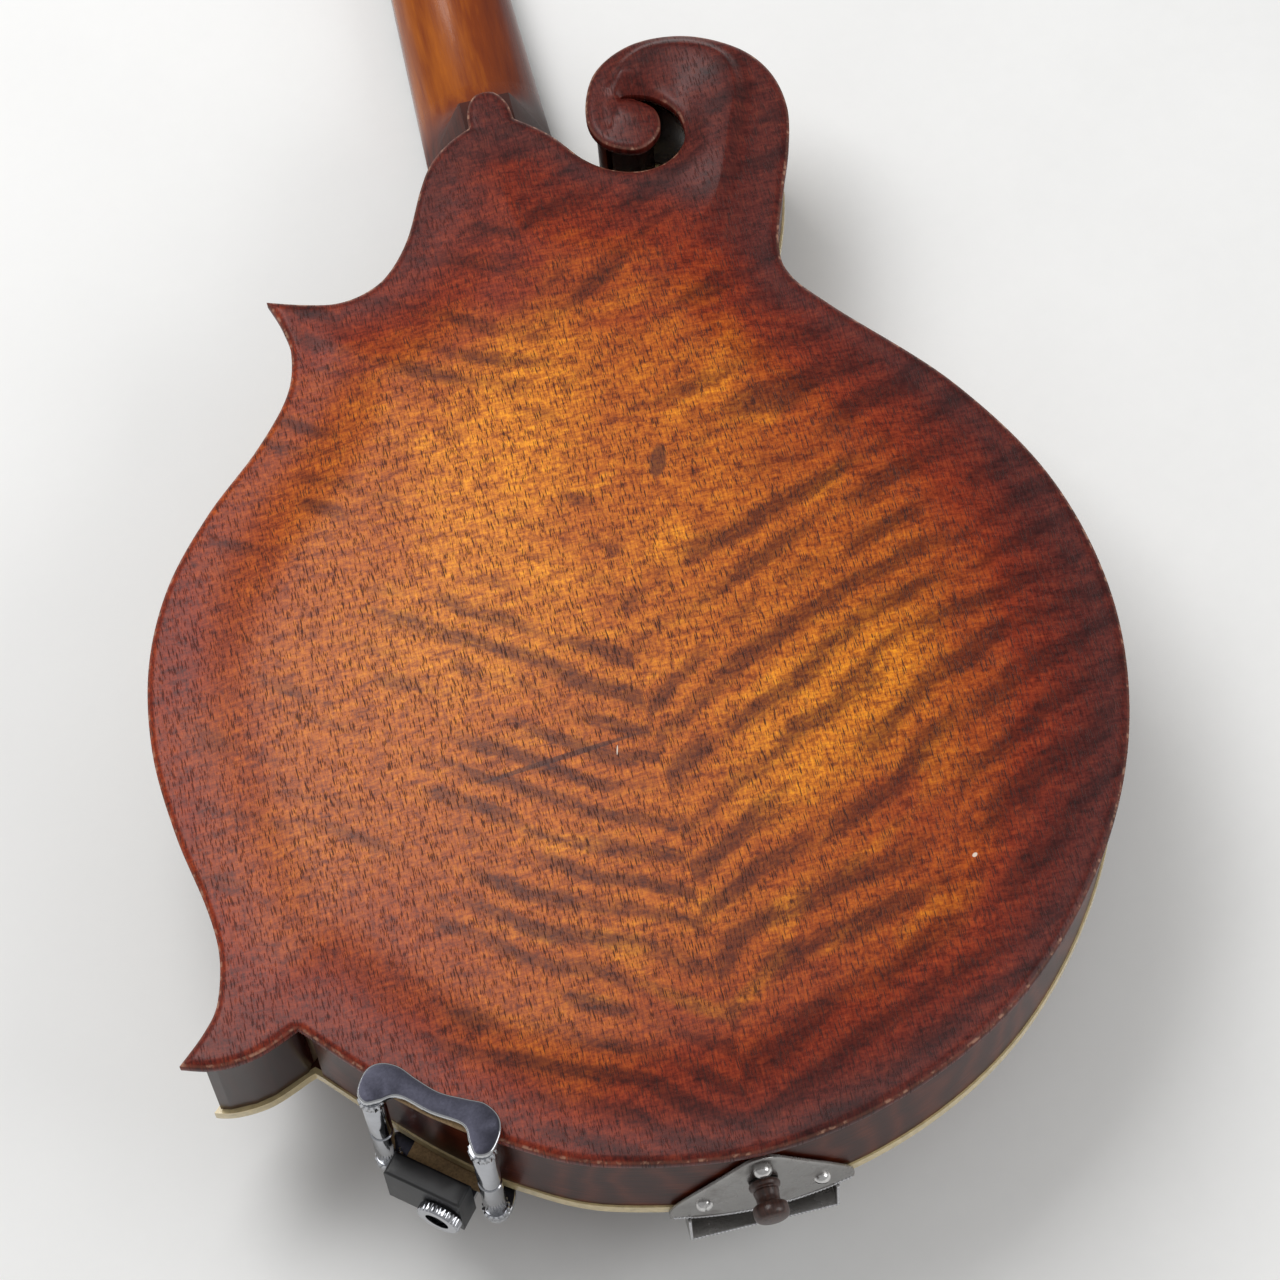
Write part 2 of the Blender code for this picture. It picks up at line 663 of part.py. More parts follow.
def build_soundboard():
    outer = offset(RIM_LINE, TOP_INSET + BINDING_WIDE + GAP)
    clear = oval(6.0)
    grid = carving_grid(outer, 9.0)
    grid += [p for p in offset(outer, RECURVE)[::2]
             if within(p, outer) and distance(p, outer) > RECURVE - 3.0]
    grid = [p for p in grid if not within(p, clear)]
    add("soundboard", slab(outer, [(oval(), True)], grid, top_face, top_under), "top_wood")
    binding = prism(offset(RIM_LINE, TOP_INSET), TOP_EDGE, TOP_INNER,
                    hole=offset(RIM_LINE, TOP_INSET + BINDING_WIDE))
    add("top_binding", binding, "cream")


def rib(name, path, bare):
    """Bent rim piece with two linings, which end short of the blocks at its bare ends."""
    outer = offset(path, RIB_INSET, closed=False)
    inner = offset(path, RIB_INSET + RIB_THICK, closed=False)
    total = sum(math.hypot(*(q - p)) for p, q in zip(path, path[1:]))
    sections, run = [], 0.0
    for i, (a, b) in enumerate(zip(outer, inner)):
        if i:
            run += math.hypot(*(path[i] - path[i - 1]))
        lined = min(run - bare[0], total - run - bare[1]) / LINING_TAPER
        wide = LINING_END + (LINING_WIDE - LINING_END) * smooth(lined)
        c = b + (b - a) / math.hypot(*(b - a)) * wide
        sections.append([(*a, RIB_TOP), (*c, RIB_TOP), (*c, RIB_TOP - LINING_TALL),
                         (*b, RIB_TOP - LINING_TALL), (*b, RIB_BOTTOM + LINING_TALL),
                         (*c, RIB_BOTTOM + LINING_TALL), (*c, RIB_BOTTOM), (*a, RIB_BOTTOM)])
    add(name, loft(sections), "rib_wood")


def nearest(line, p):
    return int(np.argmin([math.hypot(*(q - np.array(p))) for q in line]))


def shorten(path, start, end):
    """Cut a length off both ends of a path."""
    for amount in (start, end):
        while amount > 0:
            step = math.hypot(*(path[1] - path[0]))
            if step > amount + 1e-6:
                path = [path[0] + (path[1] - path[0]) * amount / step] + path[1:]
                break
            amount -= step
            path = path[1:]
        path = path[::-1]
    return path


def length(line):
    return sum(math.hypot(*(q - p)) for p, q in zip(line, line[1:]))


def build_ribs():
    """Four ribs, whose linings leave room for the blocks."""
    tail, curl = nearest(bass, TAIL), nearest(bass, CURL)
    scroll, neck = (np.array(p) for p in sized(HEAD_BLOCK)[:2])
    upper, lower = sized(UPPER_BLOCK)[0], sized(LOWER_BLOCK)[0]
    tail_bare = TAIL_BLOCK_HALF + LINING_CLEAR
    head_bare = length(bass[nearest(bass, scroll):curl + 1]) + LINING_CLEAR
    neck_bare = length(shoulder[:nearest(shoulder, neck) + 1]) - RIB_SHOULDER + LINING_CLEAR
    upper_bare = length([p for p in shoulder if p[0] < upper[0]]) - RIB_MITRE + LINING_CLEAR
    waist_bare = length([p for p in waist if p[1] > upper[1]]) + LINING_CLEAR
    lower_bare = length([p for p in waist if p[1] < lower[1]]) - RIB_MITRE + LINING_CLEAR
    rib("rib_treble_lower", shorten(bass[:tail + 1], 1.0, RIB_BUTT), (LINING_CLEAR, tail_bare))
    rib("rib_bass", shorten(bass[tail:curl + 1], RIB_BUTT, 2.0), (tail_bare, head_bare))
    rib("rib_treble_upper", shorten(shoulder, RIB_SHOULDER, RIB_MITRE), (neck_bare, upper_bare))
    rib("rib_treble_middle", shorten(waist, 4.0, RIB_MITRE), (waist_bare, lower_bare))


def build_blocks():
    """Head block that fills the scroll, tail block and one block in each point."""
    curl = nearest(bass, CURL)
    scroll, neck, button_side, *inner = (np.array(p) for p in sized(HEAD_BLOCK))
    start = nearest(bass, scroll)
    path = bass[start:] + shoulder[:nearest(shoulder, neck) + 1]
    inset = []
    for i, p in enumerate(path):
        bare = i < len(bass) - start and not (p[1] > button_side[1] and p[0] < button_side[0])
        under_rib = i <= curl - start or (not bare and p[1] < shoulder[0][1] - RIB_SHOULDER / 2)
        inset.append(BLOCK_INSET if under_rib else RIB_INSET if bare else 0.0)
    outer = offset(path, inset, closed=False)
    add("head_block", prism(outer + inner, RIB_BOTTOM, RIB_TOP), "inner_wood")

    arc = [p for p in bass if abs(p[0]) < TAIL_BLOCK_HALF + 5 and p[1] < ARCH_CENTRE[1]]
    outer = offset(arc, BLOCK_INSET, closed=False)
    outer += [np.array((s * TAIL_BLOCK_HALF, TAIL_BLOCK_DEEP)) for s in (1, -1)]
    add("tail_block", prism(outer, RIB_BOTTOM, RIB_TOP), "inner_wood")

    limit, corner = (np.array(p) for p in sized(UPPER_BLOCK))
    path = [p for p in shoulder if p[0] < limit[0]] + [p for p in waist[1:] if p[1] > limit[1]]
    outer = offset(path, BLOCK_INSET, closed=False) + [corner]
    add("point_block_upper", prism(outer, RIB_BOTTOM, RIB_TOP), "inner_wood")

    limit, *corners = (np.array(p) for p in sized(LOWER_BLOCK))
    along = [p for p in waist if p[1] < limit[1]]
    inset = [BLOCK_INSET] * (len(along) - 1) + [POINT_INSET] * len(point)
    outer = offset(along + point[1:], inset, closed=False) + corners
    add("point_block_lower", prism(outer, RIB_BOTTOM, RIB_TOP), "inner_wood")


def build_brace():
    """Transverse brace under the soundboard, below the soundhole."""
    across = [-BRACE_HALF + 2 * BRACE_HALF * i / 12 for i in range(13)]
    under = [(x, top_under(np.array((x, BRACE_Y))) + 2 * GAP) for x in across]
    upper = [(BRACE_HALF, RIB_BOTTOM + 1.5), (BRACE_HALF - 22, RIB_BOTTOM + BRACE_DEEP),
             (22 - BRACE_HALF, RIB_BOTTOM + BRACE_DEEP), (-BRACE_HALF, RIB_BOTTOM + 1.5)]
    add("top_brace", loft([[(x, y, z) for x, z in under + upper]
                           for y in (BRACE_Y - BRACE_THICK / 2, BRACE_Y + BRACE_THICK / 2)]),
        "inner_wood")


# neck and head

def head_frame():
    """Frame of the headstock: origin at the nut, X across, Y along the face, Z out of its back."""
    tilt = math.atan((board_z(NUT_Y) - board_z(BODY_FRET_Y)) / (NUT_Y - BODY_FRET_Y))
    return (Matrix.Translation((0, NUT_Y + NUT_THICK + 1.0, board_z(NUT_Y) + BOARD_THICK - 1.4))
            @ Matrix.Rotation(tilt + HEAD_ANGLE, 4, 'X'))


HEAD_RUNS = [
    [(14.4, -2.0), (16.0, 6.0), (24.0, 14.0), (30.4, 26.0), (30.6, 56.0), (30.0, 92.0),
     (33.0, 108.0), (41.5, 118.0), (46.0, 130.0), (42.0, 142.0), (32.0, 146.0), (24.0, 140.0),
     (24.5, 132.0), (30.0, 129.5)],
    [(30.0, 129.5), (20.0, 127.0), (13.0, 136.0), (8.0, 150.0), (-2.0, 159.0), (-12.0, 157.0)],
    [(-12.0, 157.0), (-14.0, 146.0), (-23.0, 139.0), (-33.0, 139.0), (-43.0, 131.0)],
    [(-43.0, 131.0), (-34.5, 122.0), (-31.0, 108.0), (-30.0, 92.0), (-30.6, 56.0), (-30.4, 26.0),
     (-24.0, 14.0), (-16.0, 6.0), (-14.4, -2.0)]]
HEAD_CHEEK = HEAD_RUNS[-1].index((-30.6, 56.0))


def head_outline(inset=0.0):
    wide = HEAD_HALF / HEAD_RUNS[-1][HEAD_CHEEK][0]
    long = HEAD_LONG / max(y for run in HEAD_RUNS for x, y in run)
    runs = [[(-x * wide, y * long) for x, y in run] for run in HEAD_RUNS]
    line = []
    for run in runs:
        line += thin(spline(run), HEAD_CHORD_ERROR)[:-1]
    line.append(np.array(runs[-1][-1], float))
    return offset(line, inset) if inset else line


def posts():
    """Side, place in the row and position of the eight posts, from the nut up."""
    return [(side, i, side * POST_X, POST_FIRST + POST_STEP * i)
            for side in (1, -1) for i in range(4)]


def post_places():
    return [Matrix.Translation((x, y, 0)) for _, _, x, y in posts()]


def build_neck(frame):
    """Shaft and heel as a loft, trimmed to the shoulders, with the head and the tongue joined on."""
    sections = []
    stations = [(NUT_Y + NUT_THICK + 0.7, 0.0), (BUTTON_TIP + 98.2, 0.0), (BUTTON_TIP + 43.2, 0.0)]
    stations += [(BUTTON_TIP + y, heel) for y, heel in HEEL_CURVE]
    for y, heel in stations:
        under = board_z(y) + BOARD_THICK + GAP
        t = (NUT_Y - y) / (NUT_Y - BODY_FRET_Y)
        deep = NECK_DEEP_NUT + (NECK_DEEP_BODY - NECK_DEEP_NUT) * t
        deep += (BACK_UNDER - GAP - under - deep) * heel
        half = neck_half(y)
        row = [(half, y, under)]
        for k in range(9):
            c, s = math.cos(math.pi * k / 8), math.sin(math.pi * k / 8)
            wide = half + (BUTTON_HALF - half) * s * heel
            s = min(s * (1.0 + 0.45 * heel), 1.0)
            row.append((c * wide, y, under + deep * (NECK_CHEEK + (1 - NECK_CHEEK) * s)))
        row.append((-half, y, under))
        sections.append(row)
    neck = add("neck", loft(sections), "neck_wood")

    treble, bass_limit, bass_corner = (np.array(p) for p in sized(NECK_JOINT))
    joint = [p for p in RIM_LINE if p[1] > treble[1] and treble[0] < p[0] < bass_limit[0]]
    joint = offset(joint, -GAP, closed=False) + [treble, bass_corner]
    cut(neck, guide("joint_cutter", prism(joint, TOP_EDGE - TONGUE_LIFT, 5.0)))

    y0, y1 = BODY_LONG - TONGUE_LAP, BOARD_END + TONGUE_SHORT
    tongue = bar([(y0, TOP_EDGE - TONGUE_LIFT), (y1, top_face(np.array((0, y1))) - GAP),
                  (y1, board_z(y1) + BOARD_THICK + GAP), (y0, board_z(y0) + BOARD_THICK + GAP)],
                 2.5 - neck_half(y1), neck_half(y1) - 2.5)
    cut(neck, guide("tongue", tongue), 'UNION')
    cut(neck, guide("head", prism(head_outline(), 0.0, HEAD_THICK), frame), 'UNION')
    cut(neck, guide("post_bores", rods(POST_BORE, -1.0, HEAD_THICK + 2.0, post_places(), 8), frame))
    face = [p for p in head_outline(0.4) if p[1] > 0.5]
    face += [np.array((-NECK_NUT_HALF, 0.5)), np.array((NECK_NUT_HALF, 0.5))]
    overlay = add("headstock_overlay", prism(face, -GAP - OVERLAY_THICK, -GAP), "ebony", frame)
    cut(overlay, guide("overlay_bores", rods(POST_BORE, -4.0, 1.0, post_places(), 8), frame))


def build_fingerboard():
    """Board with its frets as one long profile, narrowed toward the nut."""
    line = [(NUT_Y - GAP, BOARD_THICK), (NUT_Y - GAP, 0.0)]
    for i in range(1, FRETS + 1):
        y = NUT_Y - SCALE * (1 - 2 ** (-i / 12))
        line += [(y + FRET_WIDE / 2, 0.0), (y, -FRET_HIGH), (y - FRET_WIDE / 2, 0.0)]
    line += [(BOARD_END, 0.0), (BOARD_END, BOARD_THICK)]
    add("fingerboard", loft([[(side * neck_half(y), y, board_z(y) + h) for y, h in line]
                             for side in (1, -1)]), "ebony")
    z, seat = string_z(NUT_Y), board_z(NUT_Y) + BOARD_THICK
    shape = [(NUT_Y, z), (NUT_Y + NUT_THICK, z + 1.2), (NUT_Y + NUT_THICK, seat - 3.1), (NUT_Y, seat)]
    add("nut", bar(shape, -NECK_NUT_HALF, NECK_NUT_HALF), "bone")


def build_bridge():
    """One-piece bridge fitted to the arch, with a bone saddle on it."""
    y = BRIDGE_Y
    across = [-BRIDGE_HALF + 2 * BRIDGE_HALF * i / 10 for i in range(11)]
    foot = [(x, min(top_face(np.array((x, y + s * BRIDGE_WIDE / 2))) for s in (-1, 0, 1)) - GAP - 0.1)
            for x in across]
    z, wing = string_z(y) + SADDLE_TALL + GAP, foot[0][1]
    upper = [(BRIDGE_HALF, wing - 3.0), (44.0, wing - 4.6), (33.0, z + 3.0), (SADDLE_HALF + 2, z),
             (-SADDLE_HALF - 2, z), (-33.0, z + 3.0), (-44.0, wing - 4.6), (-BRIDGE_HALF, wing - 3.0)]
    add("bridge", loft([[(x, yy, zz) for x, zz in foot + upper]
                        for yy in (y - BRIDGE_WIDE / 2, y + BRIDGE_WIDE / 2)]), "ebony")
    shape = [(y - 1.7, z - GAP), (y + 1.7, z - GAP), (y + 1.2, string_z(y)), (y - 0.6, string_z(y))]
    add("saddle", bar(shape, -SADDLE_HALF, SADDLE_HALF), "bone")


def build_strings(frame):
    """Four courses of two: hook, saddle, nut, and the near side of the post."""
    for n, (side, i, px, py) in enumerate(posts()):
        course = i // 2 if side > 0 else 3 - i // 2
        radius = STRING_RADII[course]
        wide = (-1 if i % 2 else 1) * side
        at = (1.5 - course) / 1.5
        lift = STRING_SEAT + radius
        tail_x = at * TAIL_SPREAD + wide * 1.6
        saddle_x = at * SADDLE_SPREAD + wide * 1.5
        nut_x = at * NUT_SPREAD + wide * 0.95
        end = frame @ Vector((px - side * (POST_RADIUS + 0.9 + radius), py - 1.0,
                              WINDING_Z - 0.5 * (i % 2)))
        points = [(tail_x, HOOK_Y + 0.4, HOOK_Z),
                  (saddle_x, BRIDGE_Y - 1.2, string_z(BRIDGE_Y - 0.6) - lift),
                  (saddle_x, BRIDGE_Y + 1.4, string_z(BRIDGE_Y + 1.4) - lift),
                  (nut_x, NUT_Y, string_z(NUT_Y) - lift),
                  (nut_x, NUT_Y + NUT_THICK, string_z(NUT_Y) + 1.1 - lift), end]
        add("string_%d" % (n + 1), wire(points, radius), "bronze" if course < 3 else "steel")


# tuners

def build_tuners(frame):
    """Two plates of four worm drives: each key turns its post by one tooth per turn."""
    deck = HEAD_THICK + GAP + PLATE_THICK
    axis_z = deck + WORM_LIFT
    middle = POST_FIRST + POST_STEP * 1.5 - GEAR_OFFSET / 2
    for side, name in ((1, "bass"), (-1, "treble")):
        def mirrored(x0, x1, *rest):
            return (min(side * x0, side * x1), max(side * x0, side * x1), *rest)
        x0 = POST_X - PLATE_WIDE / 2 + 0.5
        plate = boxes(mirrored(x0, x0 + PLATE_WIDE, middle - PLATE_LONG / 2, middle + PLATE_LONG / 2,
                               HEAD_THICK + GAP, deck))
        plate = add("tuner_plate_" + name, plate, "nickel", frame)
        worms = [POST_FIRST + POST_STEP * i - GEAR_OFFSET for i in range(4)]
        lugs = [mirrored(x, x + LUG_THICK, y - LUG_HALF, y + LUG_HALF, deck - 0.6, axis_z + LUG_HALF)
                for y in worms for x in (POST_X - 6.9, POST_X + 6.9 - LUG_THICK)]
        cut(plate, guide("lugs_" + name, boxes(*lugs), frame), 'UNION')
        shafts = [Matrix.Translation((side * POST_X, y, axis_z)) @ Matrix.Rotation(math.pi / 2, 4, 'Y')
                  for y in worms]
        cut(plate, guide("shaft_bores_" + name, rods(SHAFT_BORE, -9.0, 9.0, shafts, 6), frame))
        holes = [Matrix.Translation((side * POST_X, y + GEAR_OFFSET, 0)) for y in worms]
        cut(plate, guide("plate_bores_" + name, rods(POST_BORE, HEAD_THICK - 2, deck + 2, holes, 8),
                         frame))
    key, wheel, stem = worm_key(), gear_wheel(), post_stem(axis_z)
    for n, (side, i, px, py) in enumerate(posts()):
        place = frame @ Matrix.Translation((px, py, axis_z))
        post = add("post_gear_%d" % (n + 1), wheel.copy(), "brass", place)
        cut(post, lathe(guide("post_stem_%d" % (n + 1), stem.copy(), place), 10), 'UNION')
        place = frame @ Matrix.Translation((px, py - GEAR_OFFSET, axis_z)) @ Matrix.Rotation(
            side * math.pi / 2, 4, 'Y')
        add("worm_key_%d" % (n + 1), key.copy(), "ivoroid", place)
    for shape in (key, wheel, stem):
        shape.free()


def gear_wheel():
    """Worm wheel round the local origin, its teeth leaned to the worm's lead."""
    lean = GEAR_THICK * math.tan(WORM_LEAD) / GEAR_PITCH_RADIUS / 2
    sections = []
    for z, shift in ((-GEAR_THICK / 2, -lean), (GEAR_THICK / 2, lean)):
        row = []
        for t in range(GEAR_TEETH):
            for f, r in ((-0.5, GEAR_ROOT), (-GEAR_TIP_FLAT, GEAR_TIP), (GEAR_TIP_FLAT, GEAR_TIP)):
                a = 2 * math.pi * (t + 0.5 + f) / GEAR_TEETH + shift
                row.append((r * math.cos(a), r * math.sin(a), z))
        sections.append(row)
    return loft(sections)


def post_stem(axis_z):
    """Profile of the string post below the wheel, top to bottom, with its winding collar."""
    shape = [(0.0, 0.2), (POST_RADIUS, 0.2), (POST_RADIUS, -POST_WINDING[1] - axis_z),
             (POST_RADIUS + 0.5, -POST_WINDING[1] - 0.4 - axis_z),
             (POST_RADIUS + 0.5, -POST_WINDING[0] - axis_z),
             (POST_RADIUS - 0.6, -POST_TIP - axis_z), (0.0, -POST_TIP - axis_z)]
    return profile(shape)


def worm_key():
    """Worm, shaft and oval button about local Z, the button at the plus end.

    The worm is a grid whose rows follow the thread: odd rows lie on the crest, even rows in the
    root, each climbs one pitch per turn, and rows beyond the worm's ends close onto the shaft.
    """
    half = WORM_LENGTH / 2
    reach = int(WORM_LENGTH / WORM_PITCH) + 2
    turn = [2 * math.pi * i / WORM_SIDES for i in range(WORM_SIDES + 1)]
    bm = bmesh.new()
    grid = []
    for j in range(-reach, reach + 1):
        row = []
        for i, a in enumerate(turn):
            h = WORM_PITCH * (j / 2 + i / WORM_SIDES - 0.25)
            r = WORM_CREST if j % 2 and abs(h) < half else WORM_ROOT
            row.append(bm.verts.new((r * math.cos(a), r * math.sin(a), min(max(h, -half), half))))
        grid.append(row)
    for a, b in zip(grid, grid[1:]):
        for i in range(WORM_SIDES):
            bm.faces.new([a[i], a[i + 1], b[i + 1], b[i]])
    shaft = [(WORM_ROOT, KEY_INNER, 1.0), (WORM_ROOT, -half, 1.0)]
    button = [(WORM_ROOT, half, 1.0), (WORM_ROOT, KEY_COLLAR, 1.0), (2.7, KEY_COLLAR, 1.0),
              (1.9, KEY_COLLAR + 3.0, 1.0), (KEY_WIDE * 0.8, KEY_COLLAR + 6.0, KEY_FLAT),
              (KEY_WIDE, KEY_COLLAR + 9.6, KEY_FLAT), (KEY_WIDE * 0.86, KEY_COLLAR + 13.4, KEY_FLAT),
              (KEY_WIDE * 0.4, KEY_COLLAR + 14.8, KEY_FLAT)]
    for line, cap in ((shaft, 0), (button, -1)):
        rows = [[bm.verts.new((r * math.cos(a) * flat, r * math.sin(a), h)) for a in turn[:-1]]
                for r, h, flat in line]
        for a, b in zip(rows, rows[1:]):
            for i in range(WORM_SIDES):
                bm.faces.new([a[i - 1], a[i], b[i], b[i - 1]])
        bm.faces.new(rows[cap])
    return bm


# tail hardware

def build_tailpiece():
    """Triangular rim plate with its string tray, slide-on cover, and the end pin."""
    inner = TOP_INSET - GAP
    plate = [(-RIM_PLATE_HALF, TOP_EDGE - 1.4), (RIM_PLATE_HALF, TOP_EDGE - 1.4),
             (2.6, RIM_PLATE_APEX - 2.0), (0.0, RIM_PLATE_APEX), (-2.6, RIM_PLATE_APEX - 2.0)]
    base = add("tailpiece_base", loft([[(x, y, z) for x, z in plate]
                                       for y in (inner - SHEET, inner)]), "nickel")
    run = [(inner - SHEET, -0.4), (8.0, -0.5), (30.0, -4.2), (HOOK_Y - 4.0, -7.4), (HOOK_Y, -7.4)]
    tray = [(y, TOP_EDGE + z) for y, z in run]
    tray += [(HOOK_Y, TOP_EDGE - 12.6), (HOOK_Y - SHEET, TOP_EDGE - 12.6)]
    tray += [(y - (SHEET if y == HOOK_Y else 0), TOP_EDGE + z - SHEET) for y, z in run[::-1]]
    cut(base, guide("tray", bar(tray, -TRAY_HALF, TRAY_HALF)), 'UNION')

    half = TRAY_HALF + COVER_PLAY + COVER_SHEET
    plan = [np.array(p) for p in ((half, 2.0), (half, 46.0), (half - 4, 56.0), (9.0, 61.0),
                                  (0.0, 62.5), (-9.0, 61.0), (4 - half, 56.0), (-half, 46.0),
                                  (-half, 2.0))]
    deck = TOP_EDGE - COVER_TALL
    place = Matrix.Translation((0, 2.0, deck))
    shell = prism(plan, 0.0, COVER_TALL - 7.2)
    for v in shell.verts:
        v.co.y -= 2.0
        if v.co.z > 1 and v.co.y < 30:
            v.co.z = COVER_TALL - 1.8
    cover = add("tailpiece_cover", shell, "nickel", place)
    hollow = offset(plan, COVER_SHEET)
    hollow[0], hollow[-1] = np.array((half - COVER_SHEET, 1.0)), np.array((COVER_SHEET - half, 1.0))
    cut(cover, guide("cover_hollow", prism(hollow, deck + COVER_SHEET, TOP_EDGE + 3)))
    cut(cover, guide("cover_mouth", boxes((-TRAY_HALF - COVER_PLAY, TRAY_HALF + COVER_PLAY, 46.2, 70.0,
                                          deck + 1.9, TOP_EDGE))))

    lay = Matrix.Translation((0, inner - SHEET - GAP, PIN_Z)) @ Matrix.Rotation(math.pi / 2, 4, 'X')
    shape = [(0.0, PIN_LONG), (PIN_HEAD * 0.55, PIN_LONG), (PIN_HEAD * 0.9, PIN_LONG - 0.8),
             (PIN_HEAD, PIN_LONG - 2.6), (PIN_HEAD * 0.93, PIN_LONG - 4.2), (3.3, PIN_LONG - 5.3),
             (2.7, 4.2), (3.2, 2.1), (4.1, 1.5), (4.1, 0.0), (0.0, 0.0)]
    lathe(add("end_pin", profile(shape), "pin_wood", lay), 14)


# clamp and jack

def clamp_axes():
    """Barrel axes, the direction between them and the direction away from the body."""
    a, b = (np.array(p) for p in sized(CLAMP_BARRELS))
    along = (b - a) / math.hypot(*(b - a))
    return a, b, along, np.array((along[1], -along[0]))


def build_clamp():
    """Two S-shaped brackets drawn together by two barrels, and the jack block on the lower one."""
    a, b, along, out = clamp_axes()
    fit = math.hypot(*(b - a)) / BAND[BAND_BOSS][0]
    band = [a + along * u * fit + out * v * fit for u, v in thin(spline(BAND, closed=True), 0.2)]
    pad = [a + along * u * fit + out * v * fit for u, v in CORK_PLAN]
    low_cork = TOP_EDGE - GAP - CORK_THICK
    back_z = 2 * GAP + CORK_THICK
    low_z = low_cork - GAP - BAND_THICK
    ends = [Matrix.Translation((p[0], p[1], 0)) for p in (a, b)]
    bar_back = add("clamp_back_bracket", prism(band, back_z, back_z + BAND_THICK), "nickel")
    bar_low = add("clamp_top_bracket", prism(band, low_z, low_z + BAND_THICK), "nickel")
    cut(bar_back, guide("rods_back", rods(ROD_RADIUS, back_z - ROD_LONG, back_z + 0.7, ends, 10)),
        'UNION')
    cut(bar_low, guide("rods_low", rods(ROD_RADIUS, low_z + BAND_THICK - 0.7,
                                        low_z + BAND_THICK + ROD_LONG, ends, 10)), 'UNION')
    mid = (a + b) / 2
    tab = [mid + along * u + out * v for u, v in ((-9, -3), (-9, JACK_FACE - 1), (9, JACK_FACE - 1),
                                                  (9, -3))]
    cut(bar_low, guide("jack_tab", prism(tab, low_z, low_z + BAND_THICK)), 'UNION')
    add("clamp_cork", prism(pad, GAP, GAP + CORK_THICK), "cork")
    add("clamp_top_cork", prism(pad, low_cork, low_cork + CORK_THICK), "cork")

    low, high = low_z + BAND_THICK + BARREL_PLAY, back_z - BARREL_PLAY
    half = (high - low) / 2
    barrel = [(3.1, half), (BARREL_NUT, half - 0.7), (BARREL_NUT, half - 3.4),
              (BARREL_RADIUS, half - 4.0), (BARREL_RADIUS, 4.0 - half), (BARREL_NUT, 3.4 - half),
              (BARREL_NUT, 0.7 - half), (3.1, -half), (BARREL_BORE, -half), (BARREL_BORE, half)]
    for k, p in enumerate((a, b)):
        place = Matrix.Translation((p[0], p[1], (low + high) / 2))
        lathe(add("clamp_barrel_%d" % (k + 1), profile(barrel, closed=True), "nickel", place), 12)

    body = [mid + along * u + out * v for u, v in ((-JACK_HALF, 2.2), (-JACK_HALF, JACK_FACE),
                                                   (JACK_HALF, JACK_FACE), (JACK_HALF, 2.2))]
    box = add("jack_block", prism(body, low_z + BAND_THICK + GAP, JACK_TOP), "black_box")
    basis = Matrix(((along[0], 0, out[0], 0), (along[1], 0, out[1], 0), (0, 1, 0, 0), (0, 0, 0, 1)))
    at = mid + along * JACK_SHIFT + out * JACK_FACE
    place = Matrix.Translation((*at, JACK_Z)) @ basis
    cut(box, guide("jack_bore", rods(JACK_BORE, -JACK_DEEP, 2.0, [Matrix()], 14), place))
    ring = [(JACK_RING - 0.8, 3.3), (JACK_RING, 2.6), (JACK_RING, GAP), (JACK_BORE, GAP),
            (JACK_BORE, 3.3)]
    lathe(add("jack_ring", profile(ring, closed=True), "nickel", place), 18)


ROOT = lay_frame()
FRAME = head_frame()
build_back()
build_soundboard()
build_ribs()
build_blocks()
build_brace()
build_neck(FRAME)
build_fingerboard()
build_bridge()
build_strings(FRAME)
build_tuners(FRAME)
build_tailpiece()
build_clamp()
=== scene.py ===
"""Looks of a scroll-body mandolin that lies on its strings with its arched back up.

Lengths in the classes are millimetres of the instrument's own drawing: X toward the scroll, Y from
the tail toward the neck, Z out of the back, origin at the tail on the plane of the back's edge.
The head has a drawing of its own, with its origin at the nut and Z out of its back.  A Lay carries
the points of a drawing into the frame, in metres.
"""

import json
import logging
import math
from collections.abc import Callable
from dataclasses import dataclass
from enum import Enum

import bmesh
import bpy
import numpy as np
from mathutils import Matrix, Vector
from mathutils.geometry import delaunay_2d_cdt
from numpy.linalg import norm


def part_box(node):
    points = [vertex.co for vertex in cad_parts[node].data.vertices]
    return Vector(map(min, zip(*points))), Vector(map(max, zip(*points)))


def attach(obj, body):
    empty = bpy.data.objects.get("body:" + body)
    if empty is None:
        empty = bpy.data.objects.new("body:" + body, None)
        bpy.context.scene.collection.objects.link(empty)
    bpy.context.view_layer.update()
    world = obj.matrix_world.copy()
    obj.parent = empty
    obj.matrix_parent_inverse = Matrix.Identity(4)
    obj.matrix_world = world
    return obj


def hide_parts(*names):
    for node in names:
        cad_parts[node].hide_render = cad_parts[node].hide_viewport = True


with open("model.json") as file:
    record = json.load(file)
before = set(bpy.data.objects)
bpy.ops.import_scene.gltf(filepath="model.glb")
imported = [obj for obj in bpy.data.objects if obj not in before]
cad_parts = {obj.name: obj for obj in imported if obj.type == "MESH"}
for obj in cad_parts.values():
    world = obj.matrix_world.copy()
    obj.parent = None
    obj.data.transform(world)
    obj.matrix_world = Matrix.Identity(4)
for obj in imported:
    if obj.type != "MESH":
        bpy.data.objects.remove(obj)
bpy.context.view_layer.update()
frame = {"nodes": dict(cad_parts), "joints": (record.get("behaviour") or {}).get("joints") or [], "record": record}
LOG = logging.getLogger("mandolin")
MM = 0.001
TURN = 2 * math.pi
POST_PITCH = 23.0
STRING_COUNT = 8
Array = np.ndarray
Piece = bpy.types.Object
Material = bpy.types.Material


# frames


